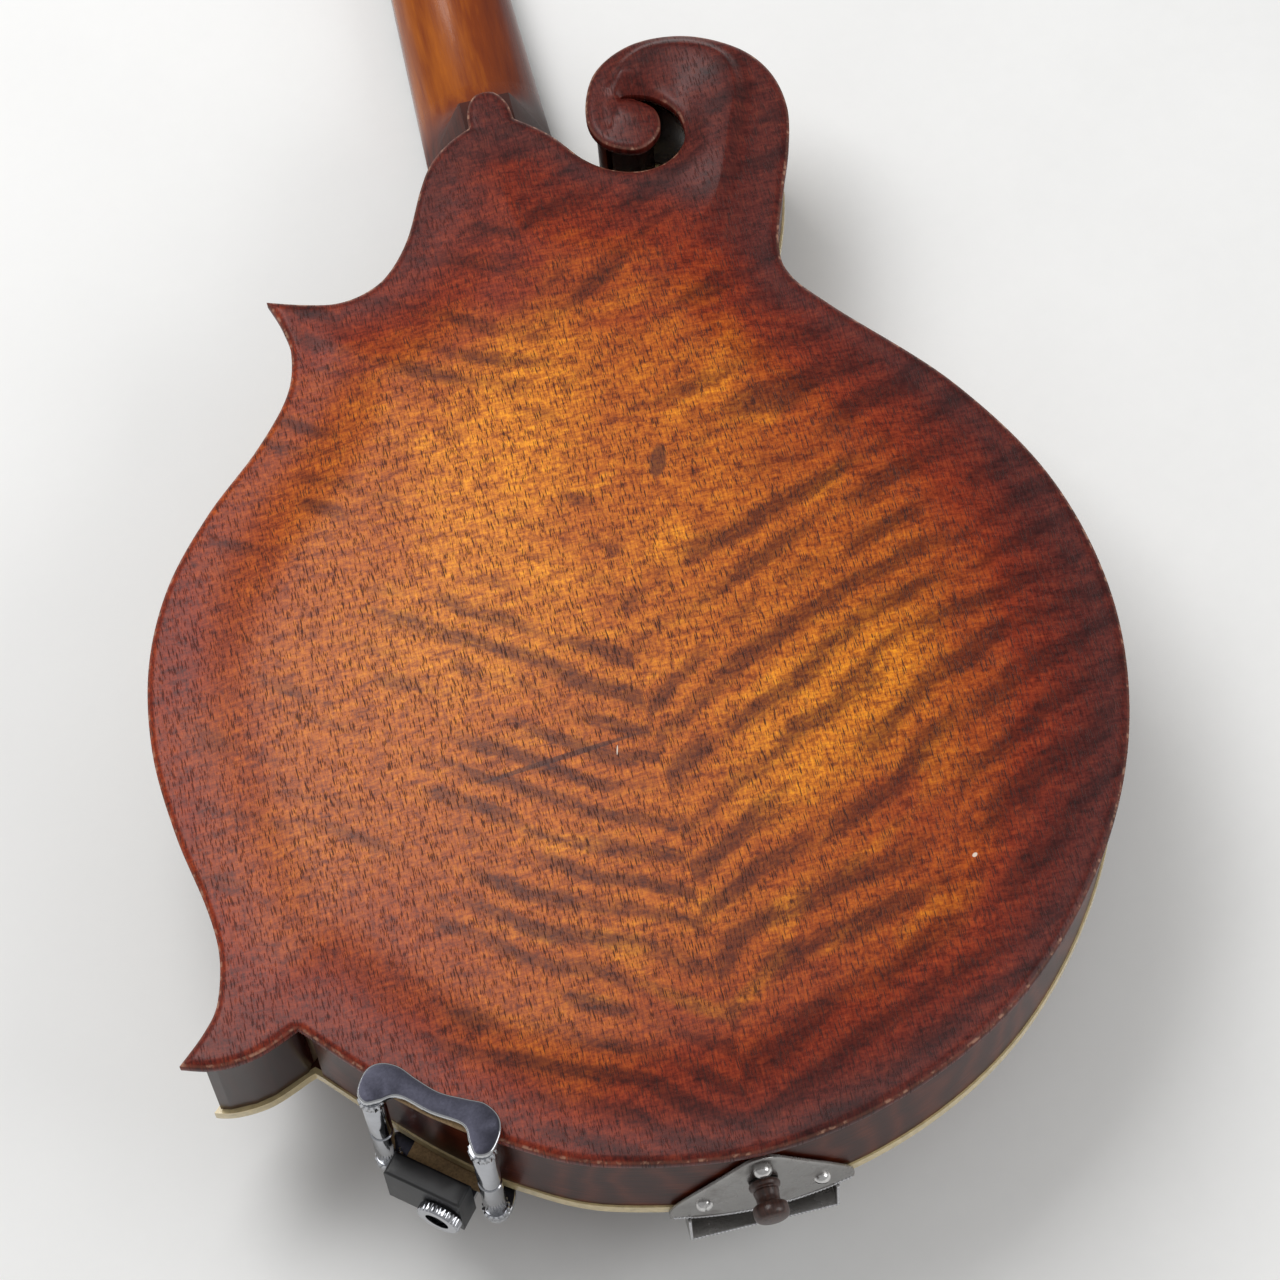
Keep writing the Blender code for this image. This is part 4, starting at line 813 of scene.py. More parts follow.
@dataclass(frozen=True)
class BackMaple(Finish):
    """Sunburst back of figured maple: amber middle, dark red edge, flame bands that rise away from
    the seam, dark pores along the grain, a few marks, three soft amber patches that are painted
    highlight, and a pale edge line that is partly wear and partly painted highlight."""

    pitch: float = 10.4
    pitch_bass: float = 13.5
    rise: float = 0.60
    rise_bass: float = 0.46

    def flame(self, g: Graph) -> Sock:
        """Dark leaf-shaped bands beside the seam.

        The phase is Y less the rise times the way from the seam, over the pitch, shifted by broad
        noise. Where its sine is high and noise drawn out along the band passes a threshold, there
        is a band. Rise and pitch differ between the halves.

        Args:
            g: Graph of the finish.

        Returns:
            Strength of the bands.
        """
        out, bass = abs(g.x), g.x.step(-0.4, 0.4)
        rise = bass * (self.rise_bass - self.rise) + self.rise
        pitch = bass * (self.pitch_bass - self.pitch) + self.pitch
        across = g.y - out * rise
        drift = g.grain(0.013, 0.013, 3.0, 2.0)
        warp = g.grain(0.07, 0.07, 7.0, 3.0)
        band = ((across / pitch + drift * 2.8 + warp * 0.50) * TURN).sine() * 0.5 + 0.5
        streak = g.noise(g.vector(out * 0.10 + across * 0.1, across * 0.9, bass * 5.0), 1.0, 3.0)
        patch = g.noise(g.vector(out * 0.036, across * 0.056, bass * 9.0 + 11.0), 1.0, 3.0)
        low = g.y.step(215.0, 120.0) * out.step(92.0, 30.0)
        right = bass * out.step(12.0, 60.0) * g.y.step(262.0, 200.0)
        place = low.most(right).most(g.y.step(215.0, 250.0) * 0.5) * 0.18 - 0.08
        soft = (band + (streak - 0.5) * 0.6).step(0.08, 0.95)
        return soft * (patch + place).step(0.44, 0.65) * (streak * 1.3 + 0.35).least(1.0)

    def pores(self, g: Graph) -> Sock:
        """Dark dashes along the grain: the middles of stretched cells, of two sizes, in patches.

        Args:
            g: Graph of the finish.

        Returns:
            Strength of the dashes.
        """
        lean = g.x + g.grain(0.02, 0.02, 6.0, 1.0) * 3.0
        coarse = g.cells(g.vector(lean * 1.6, g.y * 0.19, 2.0)).step(0.34, 0.16)
        fine = g.cells(g.vector(lean * 2.5, g.y * 0.36, 8.0)).step(0.38, 0.20)
        there = g.grain(0.28, 0.12, 5.0, 2.0)
        return (coarse * there.step(0.32, 0.48)).most(fine * there.step(0.66, 0.42) * 0.9)

    def weave(self, g: Graph) -> Sock:
        """Woven look: short steps across the grain over fibres along it."""
        long = g.grain(1.6, 0.16, 0.0, 4.0, 0.7)
        cross = g.grain(0.30, 1.3, 5.0, 3.0, 0.65)
        return long * 0.62 + cross * 0.38

    def mark(self, g: Graph, x: float, y: float, half: float, wide: float, turn: float,
             core: float = 0.45) -> Sock:
        """Soft-edged streak: 1 in the core of an ellipse about a spot, turned by degrees.

        Args:
            g: Graph of the finish.
            x: The spot's place.
            y: The spot's place.
            half: Half its length.
            wide: Half its width.
            turn: Degrees that it is turned by.
            core: Share of it at full strength.

        Returns:
            Strength of the streak.
        """
        c, s = math.cos(math.radians(turn)), math.sin(math.radians(turn))
        u, v = (g.x - x) * c + (g.y - y) * s, (g.y - y) * c - (g.x - x) * s
        return ((u / half) ** 2.0 + (v / wide) ** 2.0).step(1.0, core)

    def material(self) -> Material:
        """Build the material."""
        g = self.graph()
        inset, crest = g.attribute("inset"), g.attribute("crest")
        side = g.x + 4.0
        wide = side.step(-30.0, 30.0) * -34.0 + 152.0
        off = (side / wide) ** 2.0 + ((g.y - 156.0) / 152.0) ** 2.0
        cloud = g.grain(0.018, 0.014, 1.0, 3.0)
        burst = (off + (cloud - 0.5) * 1.1).step(0.12, 1.2)
        edge = inset.step(34.0, 2.0) * (side.step(-60.0, 20.0) * 0.14 + 0.12)
        blotch = g.grain(0.055, 0.13, 31.0, 4.0, 0.6) - 0.5
        bout = g.y.step(225.0, 290.0) * 0.16 + g.y.step(205.0, 250.0) * blotch * 0.9
        flank = g.x.step(25.0, 90.0) * g.y.step(125.0, 215.0) * 0.24
        tone = (burst * 0.74 + edge + bout + flank + crest * 0.06).math("ADD", 0.0, clamp=True)
        colour = g.ramp(tone, [(0.0, (0.43, 0.105, 0.007)), (0.22, (0.32, 0.058, 0.005)),
                               (0.5, (0.215, 0.025, 0.006)), (0.78, (0.145, 0.017, 0.008)),
                               (1.0, (0.086, 0.012, 0.009))])
        glow = g.noise(g.vector(abs(g.x) * 0.035, (g.y - abs(g.x) * 0.5) * 0.07, 17.0), 1.0, 2.0)
        # Painted highlight: three soft ellipses on the arch turned brighter amber, standing for lamp sheen.
        highlight_spots = self.mark(g, -22.0, 206.0, 62.0, 26.0, 62.0, 0.0)
        highlight_spots = highlight_spots.most(self.mark(g, 47.0, 112.0, 46.0, 24.0, 40.0, 0.0))
        highlight_spots = highlight_spots.most(self.mark(g, -40.0, 160.0, 40.0, 30.0, 0.0, 0.0) * 0.7)
        middle = g.x.step(-75.0, -35.0) * g.x.step(88.0, 52.0) * g.y.step(250.0, 215.0)
        # bright joins amber flecks of the figure with the painted highlight ellipses.
        bright = (glow.step(0.52, 0.76) * tone.step(0.5, 0.15) * middle + highlight_spots).least(1.0)
        colour = g.mix(colour, (0.66, 0.215, 0.010), bright * 0.72)
        mottle = g.grain(0.13, 0.40, 13.0, 5.0, 0.65)
        grain = g.grain(0.9, 0.75, 21.0, 3.0, 0.7)
        shade = g.ramp(mottle * 0.6 + grain * 0.4,
                       [(0.38, (0.42, 0.26, 0.24)), (0.49, (1.0, 0.92, 0.90)),
                        (0.60, (1.34, 1.55, 1.2))])
        colour = g.mix(colour, shade, 0.9, "MULTIPLY")
        flame = self.flame(g)
        colour = g.mix(colour, g.mix((0.30, 0.22, 0.28), (0.45, 0.40, 0.50), tone), flame * 0.92,
                       "MULTIPLY")
        weave = self.weave(g)
        grey = g.ramp(weave, [(0.36, (0.42, 0.28, 0.25)), (0.48, (0.96, 0.92, 0.90)),
                              (0.64, (1.45, 1.60, 1.35))])
        colour = g.mix(colour, grey, 1.0, "MULTIPLY")
        pores = self.pores(g)
        colour = g.mix(colour, (0.024, 0.006, 0.004), pores * (0.92 - tone * 0.35))
        dark = self.mark(g, -25.8, 115.9, 26.0, 0.9, 4.1)
        dark = dark.most(self.mark(g, 19.9, 196.3, 6.0, 2.6, 70.0))
        colour = g.mix(colour, (0.045, 0.012, 0.010), dark * 0.7)
        pale = self.mark(g, 73.2, 63.7, 0.9, 0.6, 30.0)
        pale = pale.most(self.mark(g, 66.3, 14.5, 2.2, 0.25, -40.0))
        pale = pale.most(self.mark(g, -10.6, 114.2, 1.6, 0.2, 75.0))
        colour = g.mix(colour, (0.72, 0.60, 0.50), pale)
        # Pale edge: chips of wear, plus a faint pale line along the whole edge that is painted highlight, only on
        # faces that look along the body's depth.
        place = g.grain(0.42, 0.42, 4.0, 3.0).step(0.52, 0.64)
        wear_and_edge_highlight = inset.step(0.9, 0.3) * (place * 0.55 + 0.12) * crest.step(0.4, 0.1)
        wear_and_edge_highlight = wear_and_edge_highlight * g.facing().step(0.25, 0.60)
        colour = g.mix(colour, (0.44, 0.24, 0.16), wear_and_edge_highlight)
        rough = 0.34 + weave * 0.10 + pores * 0.25
        return g.dress(weave * 0.4 - pores, 0.05, base_color=colour, roughness=rough,
                       coat_weight=0.05, coat_roughness=0.30, specular_ior_level=0.22)


@dataclass(frozen=True)
class RimMaple(Finish):
    """Dark red-brown gloss maple of the rims, with upright flame stripes."""

    def material(self) -> Material:
        """Build the material."""
        g = self.graph()
        run = g.attribute("run")
        drift = g.noise(g.vector(run * 0.03, g.z * 0.03), 1.0, 2.0) * 3.0
        wave = ((run / 11.0 + drift) * TURN).sine()
        streak = g.noise(g.vector(run * 0.06, g.z * 1.2), 1.0, 5.0, 0.6)
        colour = g.ramp(wave * 0.14 + streak * 0.80 + 0.05,
                        [(0.15, (0.018, 0.003, 0.002)), (0.5, (0.062, 0.010, 0.004)),
                         (0.9, (0.18, 0.036, 0.012))])
        return g.dress(streak, 0.03, base_color=colour, roughness=0.3, coat_weight=0.04,
                       coat_roughness=0.12, specular_ior_level=0.14)


@dataclass(frozen=True)
class TopSpruce(Finish):
    """Dark varnished spruce: fine lines along Y, a ring of inlay round the hole, darker toward the edges."""

    def material(self) -> Material:
        """Build the material."""
        g = self.graph()
        bend = g.grain(0.02, 0.004, 0.0, 2.0) * 9.0
        line = ((g.x + bend) * TURN / 1.3).sine() * 0.5 + 0.5
        hair = g.grain(2.6, 0.06, 0.0, 4.0)
        off = (g.x / 128.0) ** 2.0 + ((g.y - 150.0) / 175.0) ** 2.0
        cloud = g.grain(0.02, 0.015, 5.0, 3.0)
        tone = off.step(0.1, 1.1) * 0.65 + line * 0.05 + hair * 0.18 + cloud * 0.2
        colour = g.ramp(tone, [(0.0, (0.20, 0.060, 0.012)), (0.45, (0.10, 0.022, 0.007)),
                               (1.0, (0.035, 0.008, 0.005))])
        ring = ((g.x / 20.0) ** 2.0 + ((g.y - 215.0) / 27.0) ** 2.0) ** 0.5
        inlay = abs(ring - 1.31).step(0.085, 0.075)
        check = (g.x.math("ARCTAN2", g.y - 215.0) * 60.0).sine()
        pattern = g.mix((0.030, 0.020, 0.016), (0.62, 0.50, 0.30), check.step(-0.1, 0.1))
        border = abs(abs(ring - 1.31) - 0.06).step(0.018, 0.012)
        pattern = g.mix(pattern, (0.70, 0.60, 0.40), border)
        colour = g.mix(colour, pattern, inlay)
        return g.dress(line * 0.3 + hair * 0.7, 0.05, base_color=colour,
                       roughness=0.3 + hair * 0.12, coat_weight=0.3, coat_roughness=0.15)


@dataclass(frozen=True)
class NeckMaple(Finish):
    """Orange-brown gloss maple: figure along the neck, painted shade that darkens and reddens its bass side, and
    painted shadow at the heel.
    """

    def material(self) -> Material:
        """Build the material."""
        g = self.graph()
        streak = g.noise(g.vector(g.x * 0.30, g.y * 0.035, g.z * 0.30), 1.0, 4.0, 0.55)
        hair = g.noise(g.vector(g.x * 2.0, g.y * 0.12, g.z * 2.0), 1.0, 3.0)
        # Painted shade: the bass side of the neck, turned from the light, goes darker and redder.
        side = g.x.step(-2.0, 20.0)
        far = abs(g.y - 400.0).step(40.0, 110.0)
        # Painted shadow: the heel beside the button goes darker; the same mask also roughens it and thins its
        # coat.
        heel = g.y.step(352.0, 334.0)
        tone = streak * 0.55 + hair * 0.15 + side * 0.45 + far * 0.35 + heel * 0.45
        colour = g.ramp(tone, [(0.15, (0.44, 0.115, 0.006)), (0.48, (0.20, 0.035, 0.003)),
                               (0.8, (0.10, 0.013, 0.003)), (1.0, (0.040, 0.007, 0.003))])
        return g.dress(hair, 0.03, base_color=colour, roughness=0.22 + hair * 0.08 + heel * 0.35,
                       coat_weight=0.14 - heel * 0.14, coat_roughness=0.08, specular_ior_level=0.28)


@dataclass(frozen=True)
class DarkWood(Finish):
    """Dense dark wood with fine pores along the grain."""

    low: tuple = (0.008, 0.007, 0.006)
    high: tuple = (0.030, 0.024, 0.020)

    def material(self) -> Material:
        """Build the material."""
        g = self.graph()
        grain = g.noise(g.vector(g.x * 1.4, g.y * 0.09, g.z * 1.4), 1.0, 4.0, 0.6)
        pore = g.noise(g.vector(g.x * 4.0, g.y * 0.35, g.z * 4.0), 1.0, 1.0).step(0.60, 0.70)
        colour = g.ramp(grain, [(0.3, self.low), (0.7, self.high)])
        return g.dress(grain * 0.4 - pore, 0.04, base_color=colour, roughness=0.32 + pore * 0.2,
                       coat_weight=0.15)


@dataclass(frozen=True)
class BlockWood(Finish):
    """Bare light wood inside the body, varnished dark where it shows outside."""

    def material(self) -> Material:
        """Build the material."""
        g = self.graph()
        grain = g.noise(g.vector(g.x * 0.8, g.y * 0.8, g.z * 0.05), 1.0, 4.0, 0.6)
        light = g.ramp(grain, [(0.3, (0.44, 0.30, 0.17)), (0.7, (0.60, 0.44, 0.27))])
        dark = g.ramp(grain, [(0.3, (0.014, 0.004, 0.003)), (0.7, (0.048, 0.011, 0.007))])
        varnished = g.attribute("varnished").step(0.3, 0.7)
        colour = g.mix(light, dark, varnished)
        return g.dress(grain, 0.03, base_color=colour, roughness=0.75 - varnished * 0.5,
                       coat_weight=0.0)


@dataclass(frozen=True)
class WoundString(Finish):
    """Bronze winding: even ridges along the string."""

    def material(self) -> Material:
        """Build the material."""
        g = self.graph()
        ridge = (g.y * TURN / 0.42).sine() * 0.5 + 0.5
        cloud = g.noise(g.spot, 0.3, 3.0)
        colour = g.ramp(ridge * 0.5 + cloud * 0.5,
                        [(0.2, (0.26, 0.15, 0.07)), (0.8, (0.56, 0.36, 0.18))])
        return g.dress(ridge, 0.05, base_color=colour, roughness=0.35, metallic=1.0)


@dataclass(frozen=True)
class WornNickel(Finish):
    """Old nickel plate: clouded, with darker tarnish in patches and fine scratches."""

    def material(self) -> Material:
        """Build the material."""
        g = self.graph()
        cloud = g.noise(g.spot, 0.12, 5.0, 0.6)
        line = g.noise(g.vector(g.x * 0.3, g.y * 5.0, g.z * 5.0), 1.0, 3.0, 0.7)
        tarnish = cloud.step(0.44, 0.78)
        colour = g.ramp(cloud * 0.6 + line * 0.4,
                        [(0.3, (0.26, 0.25, 0.24)), (0.7, (0.46, 0.45, 0.44))])
        colour = g.mix(colour, (0.13, 0.11, 0.10), tarnish * 0.6)
        rough = 0.18 + tarnish * 0.25 + line * 0.08
        return g.dress(line, 0.012, base_color=colour, roughness=rough, metallic=1.0)


@dataclass(frozen=True)
class SatinPaintedDark(Finish):
    """Brushed plate: satin and near black on faces square to the back, which is painted dark reflection, and
    polished in the metal's own light colour on the edges.
    """

    def material(self) -> Material:
        """Build the material."""
        g = self.graph()
        across = g.vector(g.x * 0.5 + g.y * 0.5, (g.y - g.x) * 6.0, g.z * 2.0)
        brush = g.noise(across, 1.0, 3.0, 0.7)
        fine = g.noise(g.spot, 1.5, 4.0, 0.6)
        # Painted reflection: faces square to the back get a near-black metal colour that stands for the dark
        # surroundings they mirror; the edges keep the metal's light colour.
        face = g.facing().step(0.93, 0.995)
        colour = g.ramp(brush * 0.5 + fine * 0.5, [(0.3, (0.022, 0.022, 0.030)),
                                                   (0.7, (0.042, 0.042, 0.056))])
        colour = g.mix((0.55, 0.56, 0.58), colour, face)
        return g.dress(brush, 0.006, base_color=colour, roughness=0.12 + face * 0.26, metallic=1.0)


@dataclass(frozen=True)
class Plain(Finish):
    """A surface of one colour with fine mottling: the base of the small finishes."""

    colour: tuple = (0.5, 0.5, 0.5)
    dark: float = 0.75
    rough: float = 0.3
    metal: float = 0.0
    coat: float = 0.0
    scale: float = 0.4
    depth: float = 0.02

    def material(self) -> Material:
        """Build the material: two octaves of cloudy wear, and finer scratches across them."""
        g = self.graph()
        cloud = g.noise(g.spot, self.scale, 4.0, 0.6)
        fine = g.noise(g.spot, self.scale * 9.0, 3.0, 0.6)
        low = tuple(c * self.dark for c in self.colour)
        high = tuple(min(c * (2.0 - self.dark), 1.0) for c in self.colour)
        colour = g.ramp(cloud * 0.7 + fine * 0.3, [(0.3, low), (0.7, high)])
        rough = self.rough * 0.8 + (cloud + fine) * self.rough * 0.2
        return g.dress(fine, self.depth, base_color=colour, roughness=rough, metallic=self.metal,
                       coat_weight=self.coat, coat_roughness=0.1)


# body


RUN_BASS = [(-108.5, 62.6), (-95.0, 47.6), (-80.0, 32.2), (-62.5, 18.4), (-39.0, 6.6), (0.0, 0.0),
            (39.0, 6.4), (74.6, 24.3), (102.6, 52.5), (121.9, 87.4), (129.6, 127.0),
            (124.1, 167.3), (106.0, 204.0), (79.8, 236.4), (70.5, 250.0), (70.0, 261.0),
            (75.4, 277.2), (80.6, 291.5), (83.4, 304.5), (81.4, 317.5), (74.1, 327.9),
            (60.5, 335.6), (45.0, 336.6), (32.4, 329.6), (26.8, 316.0), (29.6, 306.0),
            (39.0, 301.3), (46.0, 305.6), (46.6, 313.0), (41.4, 318.2), (37.8, 319.4),
            (40.4, 319.9), (47.0, 317.3), (52.4, 310.6), (52.6, 301.6), (47.0, 295.6),
            (38.6, 293.9), (30.0, 296.5), (23.0, 302.0), (17.0, 310.6), (12.4, 315.8),
            (6.6, 320.8)]
RUN_SHOULDER = [(-6.6, 320.8), (-13.0, 317.6), (-19.5, 312.0), (-24.4, 304.0), (-31.4, 289.0),
                (-39.0, 279.2), (-46.5, 274.8), (-55.0, 273.5), (-64.0, 275.4), (-74.2, 278.9)]
RUN_WAIST = [(-74.2, 278.9), (-71.6, 270.0), (-70.8, 260.0), (-74.6, 247.6), (-86.0, 233.0),
             (-103.0, 216.4), (-117.8, 197.2), (-127.2, 175.0), (-130.9, 150.0), (-129.4, 125.4),
             (-125.4, 103.0), (-124.4, 88.0), (-127.4, 74.6), (-132.4, 67.2), (-140.3, 59.7)]
RUN_POINT = [(-140.3, 59.7), (-131.5, 57.2), (-120.4, 57.9), (-108.5, 62.6)]
BUTTON = [(6.6, 320.8), (5.9, 326.2), (3.4, 330.6), (0.0, 331.8), (-3.4, 330.6), (-5.9, 326.2),
          (-6.6, 320.8)]
RIDGE = [(38.6, 322.4), (42.0, 328.2), (51.0, 332.2), (61.0, 330.6), (68.4, 323.4),
         (69.6, 313.0), (64.6, 299.0), (58.6, 284.0), (51.0, 271.0)]


@dataclass
class Shell:
    """The body's lines and heights, which its pieces share."""

    tail_knot: int = 5              # knot of the bass run at the tail seam
    curl_knot: int = 25             # and where the rim ends on the scroll
    steps: int = 12
    edge: float = 4.2               # plate thickness at the edge
    crown: float = 5.0              # and under the crown
    edge_round: float = 1.1
    edge_band: float = 2.2
    arch_high: float = 9.5
    arch_centre: tuple = (0.0, 138.0)
    arch_reach: tuple = (150.0, 205.0, 165.0)
    arch_fade: float = 26.0
    ridge_high: float = 3.4
    ridge_inside: float = 20.0
    ridge_outside: float = 5.0
    rib_top: float = -4.5
    rib_bottom: float = -40.5
    top_inner: float = -40.8
    top_edge: float = -45.0
    hole_centre: tuple = (0.0, 215.0)
    hole_half: tuple = (20.0, 27.0)

    def __post_init__(self) -> None:
        """Draw the runs once."""
        self.bass, self.shoulder, self.waist, self.point, self.button, self.ridge_line = (
            spline(run, steps=self.steps)
            for run in (RUN_BASS, RUN_SHOULDER, RUN_WAIST, RUN_POINT, BUTTON, RIDGE))
        self.outline = joined(self.bass, self.button, self.shoulder, self.waist, self.point)
        self.rim = np.vstack([self.bass, joined(self.shoulder, self.waist, self.point)])
        self.slope = math.tan(math.radians(5.2))
        self.bridge_y, self.nut_y = 145.0, 497.4
        self.fret_y = self.nut_y - 176.2

    def arch(self, p: Array) -> Array:
        """Dome over the body: the height times the power 1.3 of one less the squares of X and Y
        over their reaches, eased in from 6 mm inside the edge.

        Args:
            p: Plan points.

        Returns:
            Height of the dome at each.
        """
        dx = (p[:, 0] - self.arch_centre[0]) / self.arch_reach[0]
        dy = p[:, 1] - self.arch_centre[1]
        dy = dy / np.where(dy > 0, self.arch_reach[1], self.arch_reach[2])
        dome = np.maximum(0.0, 1.0 - dx * dx - dy * dy)
        return self.arch_high * dome ** 1.3 * smooth((distance(p, self.rim) - 6.0) / self.arch_fade)

    def ridge(self, p: Array) -> Array:
        """Crest along the scroll: eased down to nothing at a reach that is long toward the slot and
        short toward the outer edge, and grown from nothing at its foot.

        Args:
            p: Plan points.

        Returns:
            Height of the crest at each.
        """
        line = self.ridge_line
        near = distance(p, line, closed=False)
        i = norm(p[:, None] - line[None], axis=2).argmin(1)
        a, b = line[np.maximum(i - 1, 0)], line[np.minimum(i + 1, len(line) - 1)]
        d = b - a
        side = d[:, 0] * (p[:, 1] - a[:, 1]) - d[:, 1] * (p[:, 0] - a[:, 0])
        side = side / norm(d, axis=1)
        share = smooth(0.5 - side / 3.0)
        reach = self.ridge_outside + (self.ridge_inside - self.ridge_outside) * share
        along = smooth((p[:, 1] - RIDGE[-1][1]) / 24.0)
        return self.ridge_high * along * (1.0 - smooth(near / reach))

    def back_high(self, p: Array) -> Array:
        """Outer face of the back.

        Args:
            p: Plan points.

        Returns:
            Height at each.
        """
        d = distance(p, self.outline)
        edge = -self.edge_round * (1.0 - np.minimum(d / self.edge_band, 1.0)) ** 1.8
        return edge + self.arch(p) + self.ridge(p) * smooth(d / 6.0)

    def back_low(self, p: Array) -> Array:
        """Inner face of the back, with its lower corner broken."""
        corner = rounded(0.4, distance(p, self.outline))
        return corner - self.edge + np.maximum(self.arch(p) - (self.crown - self.edge), 0.0)

    def top_face(self, p: Array) -> Array:
        """Outer face of the soundboard."""
        return self.top_edge - self.arch(p)

    def top_under(self, p: Array) -> Array:
        """Inner face of the soundboard."""
        return self.top_inner - np.maximum(self.arch(p) - (self.crown - self.edge), 0.0)

    def string_z(self, y: float) -> float:
        """Plane of the strings."""
        return self.top_edge - self.arch_high - 15.5 + self.slope * (y - self.bridge_y)

    def board_z(self, y: object) -> object:
        """Face of the fingerboard."""
        nut, body = self.string_z(self.nut_y) + 1.4, self.string_z(self.fret_y) + 2.9
        return nut + (body - nut) * (self.nut_y - y) / (self.nut_y - self.fret_y)

    def neck_half(self, y: object) -> object:
        """Half width of the neck and its board."""
        return 14.4 + 5.0 * (self.nut_y - y) / (self.nut_y - self.fret_y)


def half_line(line: Array, side: int, seam: float) -> Array:
    """Cut a closed line along the centre seam and return the part on one side.

    Args:
        line: The closed line.
        side: Sign of X on the side that is kept.
        seam: Half the gap at the seam.

    Returns:
        The closed line of that half.
    """
    x = (line[:, 0] - seam * side) * side
    following, after = np.roll(line, -1, axis=0), np.roll(x, -1)
    cross = (x >= 0) != (after >= 0)
    t = np.where(cross, x / np.where(cross, x - after, 1.0), 0.0)[:, None]
    cut = line + (following - line) * t
    both = np.stack([line, cut], 1).reshape(-1, 2)
    return both[np.column_stack([x >= 0, cross]).ravel()]


def shortened(path: Array, start: float, end: float) -> Array:
    """Cut a length off both ends of a path.

    Args:
        path: The open path.
        start: Length cut off its start.
        end: Length cut off its end.

    Returns:
        The shorter path.
    """
    run = travelled(path)
    stops = run[(run > start + 0.2) & (run < run[-1] - end - 0.2)]
    stops = np.concatenate([[start], stops, [run[-1] - end]])
    return np.column_stack([np.interp(stops, run, path[:, k]) for k in range(2)])


def finished(ob: Piece, material: Material, slot: str = "", *nodes: str,
             body: str = "instrument") -> None:
    """Dress a piece, hang it on its body and let it stand for its CAD nodes.

    Args:
        ob: The piece.
        material: Its material.
        slot: The record's material slot, or an empty string; not used.
        *nodes: CAD nodes that it stands for.
        body: Body that it rides on.
    """
    ob.data.materials.clear()
    ob.data.materials.append(material)
    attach(ob, body)
    if nodes:
        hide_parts(*nodes)
    LOG.info("%s: %d points", ob.name, len(ob.data.vertices))


@dataclass
class Back:
    """Two bookmatched plates, arched, with the crest that runs into the scroll."""

    shell: Shell
    pitch: float = 3.2
    seam: float = 0.02
    rings: tuple = (0.12, 0.4, 0.8, 1.3, 1.8, 2.3, 3.4, 5.0)
    ridge_rows: tuple = (-4.8, -3.4, -2.2, -1.1, -0.4, 0.0, 0.5, 1.4, 2.6, 4.0, 6.0, 8.5)

    def build(self) -> None:
        """Make and dress both halves."""
        wood = BackMaple("back_maple").material()
        s = self.shell
        fine = np.vstack([offset(s.ridge_line, k, closed=False) for k in self.ridge_rows])
        for name, side in (("back_bass_half", 1), ("back_treble_half", -1)):
            outer = divided(half_line(s.outline, side, self.seam), self.pitch)
            ob = plate(name + "_carved", BODY, outer, s.back_high, s.back_low, list(self.rings),
                       self.pitch, fine=fine if side > 0 else np.empty((0, 2)))
            at = drawn(ob)[:, :2]
            note(ob, "inset", distance(at, s.outline))
            note(ob, "crest", s.ridge(at) / s.ridge_high)
            finished(ob, wood, "back_maple", name)


@dataclass
class Rims:
    """Four bent ribs, each with its two linings."""

    shell: Shell
    inset: float = 2.5
    thick: float = 2.2
    lining: float = 5.0
    lining_end: float = 0.4
    lining_tall: float = 6.0
    taper: float = 9.0

    def section(self, path: Array, bare: tuple) -> Array:
        """Work out the eight corners of the rib at each point of its path.

        Args:
            path: Line that the rib follows.
            bare: Length without lining at each end.

        Returns:
            Corners by point of the path.
        """
        a, b = (offset(path, self.inset + k, closed=False) for k in (0.0, self.thick))
        run = travelled(path)
        lined = np.minimum(run - bare[0], run[-1] - run - bare[1]) / self.taper
        wide = self.lining_end + (self.lining - self.lining_end) * smooth(lined)
        c = b + (b - a) / norm(b - a, axis=1, keepdims=True) * wide[:, None]
        s, tall = self.shell, self.lining_tall
        corners = [(a, s.rib_top), (c, s.rib_top), (c, s.rib_top - tall), (b, s.rib_top - tall),
                   (b, s.rib_bottom + tall), (c, s.rib_bottom + tall), (c, s.rib_bottom),
                   (a, s.rib_bottom)]
        return np.stack([spread(*p.T, z) for p, z in corners], 1)

    def build(self) -> None:
        """Make and dress the four ribs."""
        wood = RimMaple("rim_maple").material()
        s = self.shell
        tail, curl = s.tail_knot * s.steps, s.curl_knot * s.steps
        runs = {"rib_treble_lower": (shortened(s.bass[:tail + 1], 1.0, 0.6), (6.0, 36.0)),
                "rib_bass": (shortened(s.bass[tail:curl + 1], 0.6, 2.0), (36.0, 118.9)),
                "rib_treble_upper": (shortened(s.shoulder, 26.0, 12.0), (23.7, 13.4)),
                "rib_treble_middle": (shortened(s.waist, 4.0, 12.0), (23.0, 30.6))}
        for name, (path, bare) in runs.items():
            grid = self.section(path, bare)
            ob = skin(name + "_bent", BODY, grid)
            run = travelled(path)
            near = norm(drawn(ob)[:, None, :2] - path[None], axis=2).argmin(1)
            note(ob, "run", run[near])
            finished(ob, wood, "rim_maple", name)


